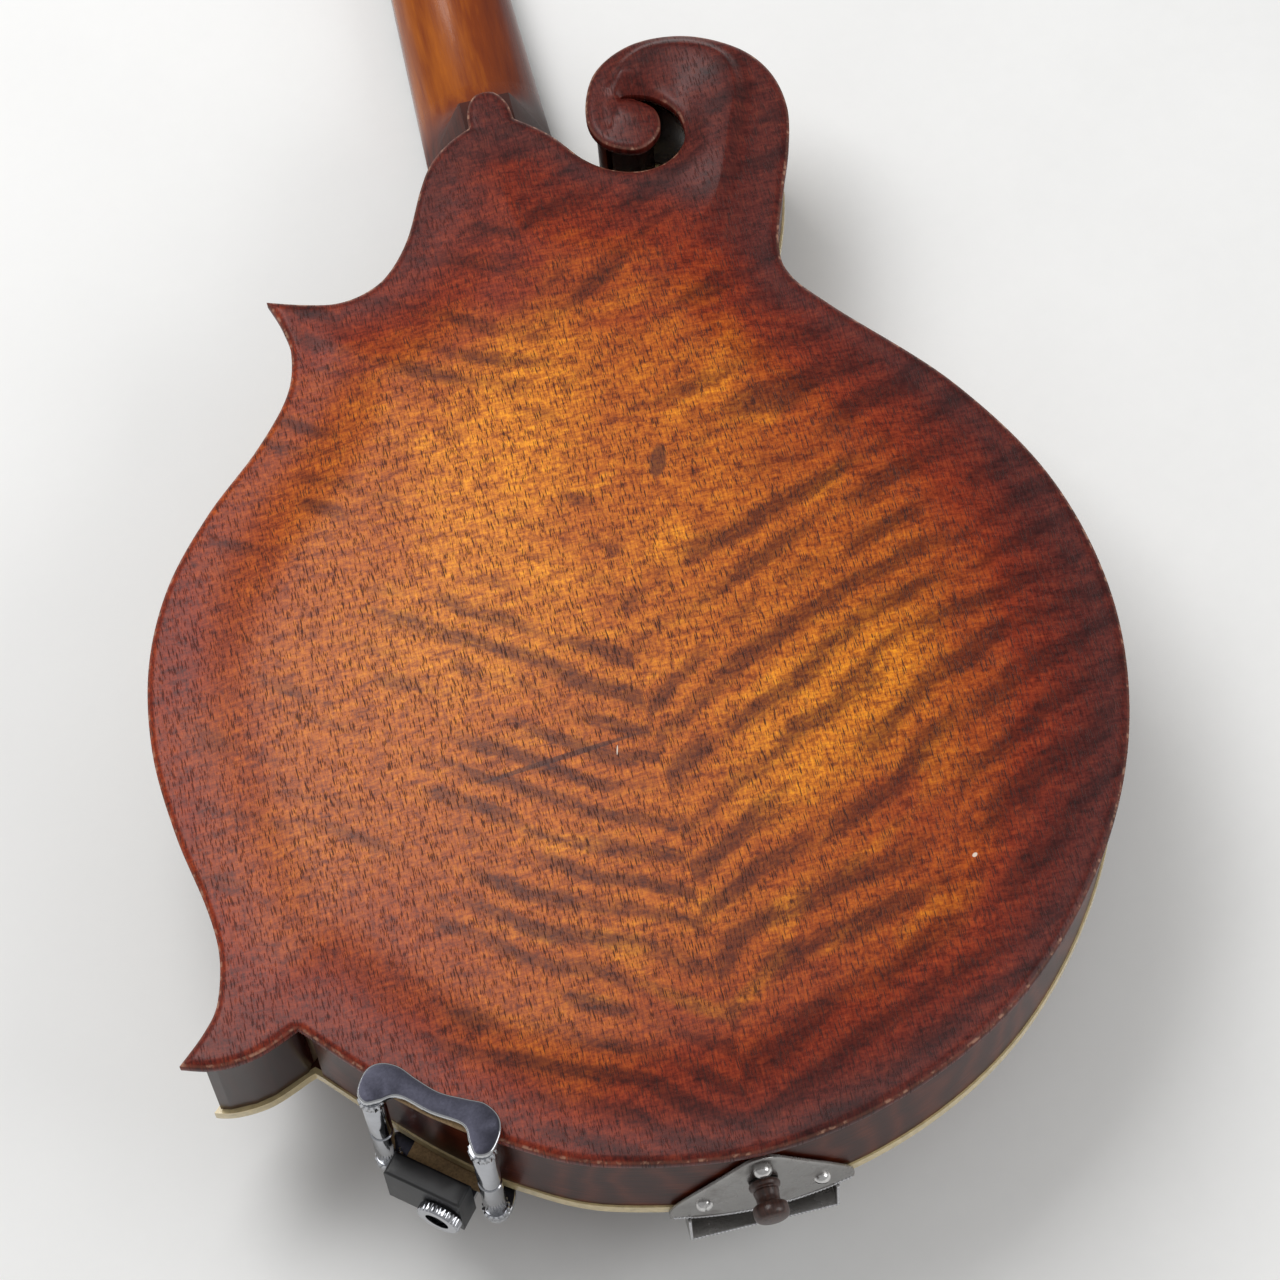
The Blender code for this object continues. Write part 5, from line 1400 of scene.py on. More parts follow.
@dataclass
class Front:
    """Soundboard with its oval hole, and the binding round its edge."""

    shell: Shell
    binding_inset: float = 2.0
    binding_wide: float = 1.6
    gap: float = 0.05
    pitch: float = 4.0
    hole_rings: tuple = (1.012, 1.035, 1.08)

    def build(self) -> None:
        """Make and dress both."""
        s = self.shell
        a = angles(72)
        hole = np.column_stack([s.hole_centre[0] + s.hole_half[0] * np.cos(a),
                                s.hole_centre[1] + s.hole_half[1] * np.sin(a)])
        outer = inner_line(s.rim, self.binding_inset + self.binding_wide + self.gap)
        def face(p: Array) -> Array:
            """Outer face, rounded at the hole."""
            return s.top_face(p) + rounded(0.9, distance(p, hole))
        around = np.vstack([s.hole_centre + (hole - s.hole_centre) * f for f in self.hole_rings])
        ob = plate("soundboard_carved", BODY, outer, s.top_under, face, [1.0, 3.0, 6.0],
                   self.pitch, holes=(hole,), fine=around)
        finished(ob, TopSpruce("soundboard_spruce").material(), "soundboard_spruce", "soundboard")
        out, inn = (inner_line(s.rim, self.binding_inset + k) for k in (0.0, self.binding_wide))
        ob = plate("top_binding_strip", BODY, out, lambda p: np.full(len(p), s.top_inner),
                   lambda p: s.top_edge + rounded(0.35, distance(p, out)), [0.02, 0.1, 0.35], 60.0,
                   holes=(inn,))
        cream = Plain("cream_binding", colour=(0.70, 0.56, 0.30), rough=0.3, coat=0.3)
        finished(ob, cream.material(), "cream_binding", "top_binding")


class Side(Enum):
    """The instrument's two sides, by the sign of X."""

    BASS = 1
    TREBLE = -1


HEAD_RUNS = [
    [(14.4, -2.0), (16.0, 6.0), (24.0, 14.0), (30.4, 26.0), (30.6, 56.0), (30.0, 92.0),
     (33.0, 108.0), (41.5, 118.0), (46.0, 130.0), (42.0, 142.0), (32.0, 146.0), (24.0, 140.0),
     (24.5, 132.0), (30.0, 129.5)],
    [(30.0, 129.5), (20.0, 127.0), (13.0, 136.0), (8.0, 150.0), (-2.0, 159.0), (-12.0, 157.0)],
    [(-12.0, 157.0), (-14.0, 146.0), (-23.0, 139.0), (-33.0, 139.0), (-43.0, 131.0)],
    [(-43.0, 131.0), (-34.5, 122.0), (-31.0, 108.0), (-30.0, 92.0), (-30.6, 56.0), (-30.4, 26.0),
     (-24.0, 14.0), (-16.0, 6.0), (-14.4, -2.0)]]


def post_place(n: int) -> tuple:
    """Tell a string's side, its number on that side and its post's place in the head's drawing.

    Args:
        n: The string's number from 0.

    Returns:
        The sign of X, the number on that side, and the post's X and Y.
    """
    half = STRING_COUNT // 2
    side, i = (Side.BASS.value, n) if n < half else (Side.TREBLE.value, n - half)
    return side, i, side * POST_AXIS[0], POST_AXIS[1] + POST_PITCH * i


def carve(ob: Piece, tool: Piece, how: str) -> Piece:
    """Join a tool to a piece or cut it out, for good, and drop the tool.

    Args:
        ob: The piece.
        tool: The piece that is joined or cut out.
        how: The operation.

    Returns:
        The piece.
    """
    mod = ob.modifiers.new("carve", "BOOLEAN")
    mod.operation, mod.solver, mod.object = how, "EXACT", tool
    graph = bpy.context.evaluated_depsgraph_get()
    mesh = bpy.data.meshes.new_from_object(ob.evaluated_get(graph))
    ob.modifiers.clear()
    ob.data = mesh
    bpy.data.objects.remove(tool, do_unlink=True)
    mesh.set_sharp_from_angle(angle=math.radians(38))
    return ob


def rod(name: str, lay: Lay, radius: float, low: float, high: float, sides: int = 32,
        bevel: float = 0.0) -> Piece:
    """Make a cylinder along Z, its ends broken by a bevel.

    Args:
        name: Name of the piece.
        lay: Frame whose Z is the axis.
        radius: Its radius.
        low: Height of its lower end.
        high: Height of its upper end.
        sides: Points round it.
        bevel: Width of the broken edges.

    Returns:
        The linked object.
    """
    profile = [(0.0, low), (radius - bevel, low), (radius, low + bevel), (radius, high - bevel),
               (radius - bevel, high), (0.0, high)]
    return turned(name, lay, [p for k, p in enumerate(profile) if bevel or k not in (2, 3)], sides)


def screw(name: str, lay: Lay, radius: float, rise: float, angle: float) -> Piece:
    """Make a round screw head on the plane Z = 0, with a slot cut across it.

    Args:
        name: Name of the piece.
        lay: Frame of the plane that it sits on.
        radius: The head's radius.
        rise: The head's height.
        angle: Turn of the slot.

    Returns:
        The linked object.
    """
    a = np.linspace(0.0, np.pi / 2, 7)
    dome = [(radius * math.cos(t), rise * math.sin(t)) for t in a]
    head = turned(name, lay, [(0.0, -0.6), (radius, -0.6), *dome], 28)
    c, s = math.cos(angle), math.sin(angle)
    blade = lay.inner((0, 0, 0), np.array([[c, -s, 0], [s, c, 0], [0, 0, 1.0]]))
    wide, long = radius * 0.13, radius * 1.2
    line = np.array([(-long, -wide), (long, -wide), (long, wide), (-long, wide)])
    slot = skin("slot", blade, raised(line, (rise * 0.45, rise * 2)))
    return carve(head, slot, "DIFFERENCE")


@dataclass
class Neck:
    """Shaft, heel and head in one, with the head's overlay."""

    shell: Shell
    nut_deep: float = 14.5
    body_deep: float = 18.5
    cheek: float = 0.16
    button_half: float = 6.6
    heel_curve: tuple = ((352.0, 0.0), (344.0, 0.10), (338.5, 0.34), (335.2, 0.66), (333.2, 0.90),
                         (332.2, 1.0))
    board_thick: float = 4.6
    gap: float = 0.3
    head_thick: float = 13.0
    overlay_thick: float = 2.0
    bore: float = 3.65
    sides: int = 28
    tongue: tuple = (318.0, 256.0)  # where the block under the board starts and ends

    def sections(self) -> Array:
        """Work out the rings of the shaft and heel.

        A ring is half an ellipse under a flat: X is the cosine times the half width, which narrows
        to the button's along the heel, and Z is the flat plus the depth times the cheek's straight
        share and the sine.

        Returns:
            Rings by place along the neck.
        """
        s = self.shell
        heel = spline(list(self.heel_curve), steps=6)
        y = np.concatenate([[501.7, 470.0, 440.0, 410.0, 380.0], heel[:, 0], [328.0, 318.0, 305.0]])
        h = np.concatenate([np.zeros(5), heel[:, 1], np.ones(3)])
        under = s.board_z(y) + self.board_thick + self.gap
        t = (s.nut_y - y) / (s.nut_y - s.fret_y)
        deep = self.nut_deep + (self.body_deep - self.nut_deep) * t
        deep = deep + (-s.edge - self.gap - under - deep) * h
        half = s.neck_half(y)
        a = np.linspace(0.0, np.pi, self.sides + 1)
        sine = np.sin(a)[None]
        wide = half[:, None] + (self.button_half - half)[:, None] * sine * h[:, None]
        rise = self.cheek + (1 - self.cheek) * np.minimum(sine * (1 + 0.45 * h[:, None]), 1.0)
        arc = spread(np.cos(a) * wide, y[:, None], under[:, None] + deep[:, None] * rise)
        flat = np.stack([spread(half * k, y, under) for k in (1, -1)], 1)
        return np.concatenate([flat[:, :1], arc, flat[:, 1:]], 1)

    def head_line(self, inset: float = 0.0) -> Array:
        """Draw the head's outline."""
        line = joined(*(spline(run, steps=9) for run in HEAD_RUNS))
        line = np.vstack([line, [HEAD_RUNS[-1][-1]]])
        return offset(line, inset) if inset else line

    def bores(self) -> tuple:
        """Draw the eight post holes."""
        return tuple(circle(*post_place(n)[2:], self.bore) for n in range(STRING_COUNT))

    def build(self) -> None:
        """Make and dress the neck and the overlay."""
        s = self.shell
        neck = skin("neck_shaped", BODY, self.sections(), sharp=38)
        near = s.rim[(s.rim[:, 1] > 262) & (s.rim[:, 0] > -60) & (s.rim[:, 0] < 24)]
        near = offset(near, -self.gap, closed=False)
        line = np.vstack([near, [(-60.0, 262.0), (30.0, 262.0)]])
        neck = carve(neck, skin("joint", BODY, raised(line, (-46.3, 5.0))), "DIFFERENCE")
        y0, y1 = self.tongue
        low = [s.top_edge - 1.3, float(s.top_face(np.array([[0.0, y1]]))[0]) - self.gap]
        high = [float(s.board_z(y)) + self.board_thick + self.gap for y in (y0, y1)]
        half = float(s.neck_half(y1)) - 2.5
        grid = np.array([[(-half, y, a), (half, y, a), (half, y, b), (-half, y, b)]
                         for y, a, b in zip((y0, y1), low, high)])
        neck = carve(neck, skin("tongue", BODY, grid), "UNION")
        head = slabbed("head", HEAD, self.head_line(), 0.0, self.head_thick, 0.9, self.bores())
        neck = carve(neck, head, "UNION")
        finished(neck, NeckMaple("neck_wood").material(), "neck_wood", "neck")
        face = self.head_line(0.4)
        face = face[face[:, 1] > 0.5]
        face = np.vstack([face, [(-14.4, 0.5), (14.4, 0.5)]])
        ob = slabbed("headstock_overlay_sheet", HEAD, face, -self.gap - self.overlay_thick,
                     -self.gap, 0.35, self.bores())
        finished(ob, DarkWood("ebony").material(), "ebony", "headstock_overlay")


@dataclass
class Board:
    """Fingerboard with its frets and position dots, and the nut."""

    shell: Shell
    scale: float = 352.4
    count: int = 20
    end: float = 250.0
    thick: float = 4.6
    fret_high: float = 0.9
    fret_wide: float = 2.0
    dots: tuple = (5, 7, 10, 12, 15)

    def fret_y(self, number: float) -> float:
        """Place of a fret: each semitone shortens the string by the twelfth root of two."""
        return self.shell.nut_y - self.scale * (1 - 2 ** (-number / 12))

    def build(self) -> None:
        """Make and dress the board, frets and dots."""
        s = self.shell
        y = np.linspace(s.nut_y - 0.3, self.end, 60)
        half, z, r = s.neck_half(y), s.board_z(y), 0.35
        section = [(1, 0, self.thick), (-1, 0, self.thick), (-1, 0, r), (-1, r * 0.3, r * 0.3),
                   (-1, r, 0), (1, r, 0), (1, r * 0.3, r * 0.3), (1, 0, r)]
        grid = np.stack([spread(k * (half - inset), y, z + h) for k, inset, h in section], 1)
        board = skin("fingerboard_shaped", BODY, grid)
        finished(board, DarkWood("ebony_board").material(), "ebony", "fingerboard")
        wire = Plain("fret_wire", colour=(0.62, 0.60, 0.57), rough=0.25, metal=1.0).material()
        a = np.linspace(0, np.pi, 9)
        for k in range(1, self.count + 1):
            at = self.fret_y(k)
            profile = [(at + math.cos(t) * self.fret_wide / 2, -math.sin(t) * self.fret_high)
                       for t in a] + [(at - 0.3, 0.3), (at + 0.3, 0.3)]
            half, z = float(s.neck_half(at)), float(s.board_z(at))
            ends = ((-half, 0.55), (0.6 - half, 1.0), (half - 0.6, 1.0), (half, 0.55))
            grid = np.array([[(x, y, z + h * f) for y, h in profile] for x, f in ends])
            finished(skin("fret_%02d" % k, BODY, grid), wire)
        fall = float(s.board_z(s.nut_y) - s.board_z(s.fret_y)) / (s.nut_y - s.fret_y)
        along = np.array((0.0, 1.0, fall)) / math.hypot(1.0, fall)
        lean = np.column_stack([(1.0, 0.0, 0.0), along, np.cross((1.0, 0.0, 0.0), along)])
        pearl = Plain("dot_pearl", colour=(0.74, 0.72, 0.66), dark=0.85, rough=0.2,
                      scale=1.2).material()
        for k in self.dots:
            at = (self.fret_y(k) + self.fret_y(k - 1)) / 2
            for n, x in enumerate((-6.0, 6.0) if k == 12 else (0.0,)):
                lay = BODY.inner((x, at, float(s.board_z(at)) - 0.04), lean)
                ob = rod("dot_%02d_%d" % (k, n), lay, 2.6, 0.0, 0.5)
                finished(ob, pearl)
        bone = Plain("bone", colour=(0.76, 0.70, 0.56), dark=0.88, rough=0.35, coat=0.2).material()
        finished(refined("nut", "nut_cut", 0.35, 3), bone, "bone", "nut")
        finished(refined("saddle", "saddle_cut", 0.25, 3), bone, "bone", "saddle")


@dataclass
class Bridge:
    """One-piece bridge, its foot fitted to the soundboard."""

    shell: Shell
    half: float = 56.0
    wide: float = 9.2
    saddle_half: float = 25.0

    def build(self) -> None:
        """Make and dress the bridge: rounded sections along X between the foot and the crown."""
        s, y = self.shell, self.shell.bridge_y
        x = np.linspace(-self.half, self.half, 113)
        foot = np.min([s.top_face(np.column_stack([x, np.full(len(x), y + k * self.wide / 2)]))
                       for k in (-1, 0, 1)], 0) - 0.4
        z, wing = s.string_z(y) + 3.6, foot[0]
        knots = [(25.0, z), (27.0, z), (33.0, z + 3.0), (44.0, wing - 4.6), (56.0, wing - 3.0)]
        side = np.array([(-a, b) for a, b in knots[::-1]] + knots)
        crown = np.interp(x, side[:, 0], side[:, 1])
        crown = np.convolve(np.pad(crown, 2, mode="edge"), np.full(5, 0.2), "valid")
        crown = np.where(np.abs(x) < self.saddle_half, z, crown)
        w, r = self.wide / 2, 1.0
        ring = [(w, foot), (w, crown + r), (w - 0.3 * r, crown + 0.3 * r), (w - r, crown),
                (r - w, crown), (0.3 * r - w, crown + 0.3 * r), (-w, crown + r), (-w, foot)]
        grid = np.stack([spread(x, y + k, h) for k, h in ring], 1)
        ob = skin("bridge_carved", BODY, grid)
        finished(ob, DarkWood("ebony_bridge").material(), "ebony", "bridge")


@dataclass
class Strings:
    """Four courses of two, each with its twisted loop at the tail and its turns round the post."""

    shell: Shell
    radii: tuple = (0.45, 0.36, 0.28, 0.24)
    seat: float = 0.2
    hook: tuple = (45.4, -56.6)
    spreads: tuple = (12.5, 19.0, 10.6)
    pairs: tuple = (1.6, 1.5, 0.95)
    collar: float = 3.5
    winding_z: float = -7.6
    turns: float = 3.5
    twist: tuple = (0.16, 1.6, 9.0)  # radius, pitch and length of the twist beside the loop
    pin: tuple = (0.62, 44.2, 47.7)  # radius of a hook pin, and where it starts and ends
    loop: tuple = (46.0, 1.0, 0.2)  # the loop's place, its radius and the wire's

    def build(self) -> None:
        """Make and dress every string with its winding."""
        s = self.shell
        wound = WoundString("wound_string").material()
        plain = Plain("plain_string", colour=(0.60, 0.60, 0.62), rough=0.25, metal=1.0).material()
        for n in range(STRING_COUNT):
            side, i, px, py = post_place(n)
            course = i // 2 if side > 0 else 3 - i // 2
            r, wide, at = self.radii[course], (-1 if i % 2 else 1) * side, (1.5 - course) / 1.5
            tail, saddle, nut = (at * a + wide * b for a, b in zip(self.spreads, self.pairs))
            lift = self.seat + r
            z = self.winding_z - 0.5 * (i % 2)
            end = np.array((px - side * (self.collar + 0.4 + r), py - 1.0, z))
            end = BODY.axes.T @ ((HEAD.world(end) - BODY.origin) / MM)
            y, top = s.bridge_y, s.string_z
            path = np.array([(tail, *self.hook), (saddle, y - 1.2, top(y - 0.6) - lift),
                             (saddle, y + 1.4, top(y + 1.4) - lift),
                             (nut, s.nut_y, top(s.nut_y) - lift),
                             (nut, s.nut_y + 3.6, top(s.nut_y) + 1.1 - lift), end])
            material, slot = (plain, "plain_string") if course == 3 else (wound, "wound_string")
            name = "string_%d" % (n + 1)
            ob = swept(name + "_drawn", BODY, path, r, 10)
            finished(ob, material, slot, name)
            ahead = (path[1] - path[0]) / norm(path[1] - path[0])
            wire, pitch, long = self.twist
            k = np.linspace(0, long, 46)
            a = k * TURN / pitch
            turn = spread(np.cos(a), 0.0, np.sin(a)) * (r + wire)
            twist = path[0] + ahead * (1.0 + k[:, None]) + turn
            finished(swept(name + "_twist", BODY, twist, wire, 6), plain, slot)
            (thick, start, stop), hook = self.pin, self.hook[1] + 0.2
            pin = np.array([(tail, y, z) for y, z in ((start, hook), (stop - 0.7, hook),
                                                      (stop, hook - 0.5))])
            finished(swept(name + "_pin", BODY, pin, thick, 12), plain)
            a, (place, eye, wire) = np.linspace(0, TURN, 25), self.loop
            eye = spread(tail + eye * np.cos(a), place, hook + eye * np.sin(a))
            finished(swept(name + "_loop", BODY, eye, wire, 8, (0, 1, 0)), plain, slot)
            a = np.linspace(0, TURN * self.turns, int(24 * self.turns))
            rr = self.collar + r + 0.03
            coil = spread(px - side * rr * np.cos(a), py + rr * np.sin(a),
                          z + a / TURN * (2 * r + 0.02) * 0.62)
            finished(swept(name + "_winding", HEAD, coil, r * 0.98, 8), material, slot,
                     body="post_%d" % (n + 1))


@dataclass
class Tuners:
    """Two plates of four worm drives with their screws."""

    worm_pitch: float = 2.0
    worm_root: float = 1.3
    worm_crest: float = 2.3
    worm_half: float = 3.5
    teeth: int = 14
    tip: float = 4.9
    root: float = 3.9
    thick: float = 2.8
    gear_offset: float = 6.55
    post_radius: float = 3.0
    post_tip: float = 11.3
    collar: tuple = (9.6, 5.6)
    deck: float = 14.5
    key_inner: float = -8.2
    key_collar: float = 16.0
    key_wide: float = 8.0
    key_flat: float = 0.6
    wheel_bevel: float = 0.35
    gear_free: float = 0.03         # how far the worm's crest stays clear of the teeth
    plate_middle: float = 34.5
    plate_screws: tuple = ((-45.0, 0.5), (-8.2, 5.6), (14.8, 5.6), (45.0, 0.5))

    def wheel(self) -> Array:
        """Work out a worm wheel: its radius follows rounded teeth, and its angle leans with the
        height by the worm's lead.

        Returns:
            Points by row, column and axis.
        """
        per = 12
        a = np.arange(self.teeth * per) * TURN / (self.teeth * per)
        phase = np.abs((a * self.teeth / TURN) % 1.0 - 0.5) * 2
        r = self.tip - 0.02 - (self.tip - self.root) * np.clip((phase - 0.1) / 0.9, 0, 1) ** 1.15
        lead = math.atan(self.worm_pitch / (math.pi * (self.worm_root + self.worm_crest)))
        lean = self.thick * math.tan(lead) / (self.teeth * self.worm_pitch / TURN) / 2
        z = np.array([[-1.0], [-0.86], [-0.43], [0.0], [0.43], [0.86], [1.0]])
        broken = np.where(np.abs(z) == 1.0, self.wheel_bevel, 0.0)
        return ringed(r - broken, a + lean * z, z * self.thick / 2)

    def worm(self) -> Array:
        """Work out shaft and worm in one: the radius at an angle and height is the crest's where
        the height less the thread's own there is near a whole pitch, and falls to the root's.

        Returns:
            Points by row, column and axis.
        """
        a = angles(40)
        h = np.concatenate([[self.key_inner, self.key_inner + 0.25],
                            np.linspace(-self.worm_half - 0.3, self.worm_half + 0.3, 61),
                            [self.key_collar - 0.2, self.key_collar]])
        phase = (h[:, None] / self.worm_pitch - a[None] / TURN + 0.25) % 1.0
        crest = np.clip(1.35 - np.abs(phase - 0.5) * 3.4, 0, 1)
        ends = smooth((self.worm_half - np.abs(h)) / 0.35)[:, None]
        r = self.worm_root + (self.worm_crest - self.worm_root - self.gear_free) * crest * ends
        r[0] -= 0.25
        return ringed(r, a, h[:, None])

    def button(self) -> Array:
        """Work out an oval button: a turned outline flattened in X, on a round collar.

        Returns:
            Points by row, column and axis.
        """
        k, w = self.key_collar, self.key_wide
        line = spline([(1.5, k + 0.05), (2.6, k), (2.75, k + 0.5), (2.3, k + 1.6), (1.95, k + 3.0),
                       (3.4, k + 4.6), (w * 0.8, k + 6.0), (w, k + 9.6), (w * 0.88, k + 13.0),
                       (w * 0.5, k + 14.6), (0.0, k + 14.8)], steps=5)
        flat = 1.0 - (1.0 - self.key_flat) * smooth((line[:, 1] - k - 2.4) / 3.4)
        grid = ringed(np.maximum(line[:, :1], 0.0), angles(48), line[:, 1:])
        return grid * spread(flat[:, None], 1.0, 1.0)

    def build(self) -> None:
        """Make and dress both sets."""
        nickel = Plain("nickel_tuners", HEAD, colour=(0.66, 0.64, 0.60), dark=0.8, rough=0.24,
                       metal=1.0).material()
        brass = Plain("post_brass", HEAD, colour=(0.62, 0.46, 0.20), dark=0.72, rough=0.3,
                      metal=1.0).material()
        ivoroid = Plain("button_ivoroid", HEAD, colour=(0.78, 0.70, 0.50), dark=0.86, rough=0.25,
                        coat=0.4, scale=0.25).material()
        middle = POST_AXIS[1] + self.plate_middle - self.gear_offset / 2
        for side, name in ((s.value, s.name.lower()) for s in Side):
            node = "tuner_plate_" + name
            finished(refined(node, node + "_cut", 0.2, 2), nickel, "nickel_plate", node)
            for k, (y, x) in enumerate(self.plate_screws):
                lay = HEAD.inner((side * (POST_AXIS[0] + x), middle + y, self.deck))
                finished(screw("plate_screw_%s_%d" % (name, k), lay, 1.5, 0.7, 0.5 + k * 1.1),
                         nickel)
        for n in range(STRING_COUNT):
            (side, _, x, y), z = post_place(n), POST_AXIS[2]
            post, key = "post_%d" % (n + 1), "key_%d" % (n + 1)
            at = HEAD.inner((x, y, z))
            finished(skin("post_wheel_%d" % (n + 1), at, self.wheel(), sharp=28), brass,
                     "post_brass", "post_gear_%d" % (n + 1), body=post)
            r, low, high = self.post_radius, self.collar[1] + z, self.collar[0] + z
            stem = [(0.0, -1.0), (r, -1.0), (r, -low), (r + 0.5, -low - 0.4), (r + 0.5, -high),
                    (r - 0.25, -high - 0.7), (r - 0.6, 0.4 - self.post_tip - z),
                    (r - 1.0, -self.post_tip - z), (0.0, -self.post_tip - z)]
            finished(turned("post_stem_%d" % (n + 1), at, stem, 32), brass, "post_brass", body=post)
            head = HEAD.inner((x, y, z + self.thick / 2))
            finished(screw("wheel_screw_%d" % (n + 1), head, 2.2, 1.0, 0.4 + n * 0.9), nickel,
                     body=post)
            axes = np.array([[0.0, 0.0, side], [0.0, 1.0, 0.0], [-side, 0.0, 0.0]])
            shaft = HEAD.inner((x, y - self.gear_offset, z), axes)
            finished(skin("worm_shaft_%d" % (n + 1), shaft, self.worm(), sharp=50), nickel,
                     "nickel_plate", body=key)
            finished(skin("worm_button_%d" % (n + 1), shaft, self.button()), ivoroid,
                     "button_ivoroid", "worm_key_%d" % (n + 1), body=key)


TAIL_AXES = np.array([[1.0, 0.0, 0.0], [0.0, 0.0, -1.0], [0.0, 1.0, 0.0]])   # Z out of the tail


@dataclass
class Tail:
    """Rim plate with its tray and screws, the slide-on cover and the end pin."""

    shell: Shell
    pin_z: float = -26.0
    pin_long: float = 10.6
    pin_head: float = 4.8
    plate_face: float = 0.7
    sheet: float = 1.0
    low: float = -46.4
    half: float = 25.0
    side: tuple = ((25.0, -46.4), (25.0, -43.0), (23.6, -38.6), (19.6, -31.8), (14.6, -24.4),
                   (9.6, -17.6), (5.4, -12.0), (2.8, -9.4), (0.0, -8.5))
    tray_half: float = 19.2
    tray_run: tuple = ((0.7, -0.4), (4.0, -0.45), (8.0, -0.5), (19.0, -2.0), (30.0, -4.2),
                       (41.0, -7.4), (45.0, -7.4))
    hook: float = -12.6
    bead: tuple = (0.42, 1.05)
    lip: tuple = ((-20.15, -47.3), (-20.15, -61.55), (20.15, -61.55), (20.15, -47.3))
    screws: tuple = ((0.0, -17.6), (-15.8, -36.5), (15.8, -36.5))

    def face(self, x: Array) -> Array:
        """Outer face of the bent rim plate, which follows the rim.

        Args:
            x: Places across the tail.

        Returns:
            Y of the plate at each.
        """
        line = self.shell.rim
        line = line[(line[:, 1] < 12.0) & (np.abs(line[:, 0]) < 50.0)]
        line = line[np.argsort(line[:, 0])]
        return np.interp(x, line[:, 0], line[:, 1]) + self.plate_face

    def plate(self) -> Piece:
        """Make the rim plate: a bell-shaped outline on the rim's curve."""
        right = spline(list(self.side), steps=6)
        outline = divided(np.vstack([right, (right * (-1.0, 1.0))[-2::-1]]), 2.0)
        lay = BODY.inner((0.0, 0.0, 0.0), TAIL_AXES)
        return plate("rim_plate_bent", lay, outline,
                     lambda p: -self.face(p[:, 0]) - rounded(0.3, distance(p, outline)),
                     lambda p: -self.face(p[:, 0]) - self.sheet, [0.02, 0.1, 0.3], 3.0)

    def tray(self) -> Piece:
        """Make the string tray with its hook wall: a profile, its front edge bent with the rim."""
        top = self.shell.top_edge
        run = [(y, top + z) for y, z in self.tray_run]
        y, t = run[-1][0], self.sheet
        ring = run + [(y, top + self.hook), (y - t, top + self.hook)]
        ring += [(v - (t if v == y else 0.0), z - t) for v, z in run[::-1]]
        ring = np.array(ring)
        x = np.linspace(-self.tray_half, self.tray_half, 33)
        bend = (self.face(x) - self.plate_face)[:, None] * np.clip(1 - ring[None, :, 0] / 9.0, 0, 1)
        return skin("string_tray", BODY, spread(x[:, None], ring[:, 0] + bend, ring[:, 1]))

    def build(self) -> None:
        """Make and dress the tail hardware."""
        nickel = WornNickel("nickel_tail").material()
        finished(self.plate(), nickel, "nickel_plate", "tailpiece_base")
        finished(self.tray(), nickel, "nickel_plate")
        finished(refined("tailpiece_cover", "tailpiece_cover_bent", 0.4, 3), nickel, "nickel_plate",
                 "tailpiece_cover", body="cover")
        bright = Plain("milled_edge", colour=(0.66, 0.66, 0.68), dark=0.8, rough=0.14,
                       metal=1.0).material()
        x = np.linspace(-self.half + 0.8, self.half - 0.8, 40)
        edge = spread(x, self.face(x) + 0.1, self.low + 0.25)
        finished(beaded("plate_beads", BODY, edge, *self.bead), bright)
        lip = np.array([(x, 1.95, z) for x, z in self.lip])
        for k in range(3):
            finished(beaded("cover_beads_%d" % (k + 1), BODY, lip[k:k + 2], *self.bead), bright,
                     body="cover")
        steel = Plain("screw_steel", colour=(0.66, 0.65, 0.64), dark=0.7, rough=0.2,
                      metal=1.0).material()
        for k, (x, z) in enumerate(self.screws):
            lay = BODY.inner((x, float(self.face(np.array([x]))[0]), z), TAIL_AXES)
            finished(screw("rim_screw_%d" % (k + 1), lay, 2.45, 1.9, 0.3 + 1.3 * k), steel)
        lay = BODY.inner((0.0, self.plate_face - 0.3, self.pin_z), TAIL_AXES)
        p, r = self.pin_long, self.pin_head
        line = spline([(4.1, 0.3), (4.25, 0.8), (4.0, 1.5), (3.45, 1.8), (3.3, 2.1), (3.45, 2.5),
                       (3.35, 3.2), (3.15, 4.4), (3.2, 5.4), (3.5, 6.0), (4.4, 6.3),
                       (r * 0.98, 6.9), (r, p - 2.6), (r * 0.97, p - 1.4), (r * 0.84, p - 0.5),
                       (r * 0.55, p)], steps=5)
        profile = [(0.0, 0.0), (4.0, 0.0)] + [tuple(q) for q in line] + [(0.0, p)]
        wood = DarkWood("pin_wood", low=(0.020, 0.008, 0.006), high=(0.075, 0.028, 0.018))
        finished(turned("end_pin_turned", lay, profile, 48), wood.material(), "pin_wood", "end_pin")


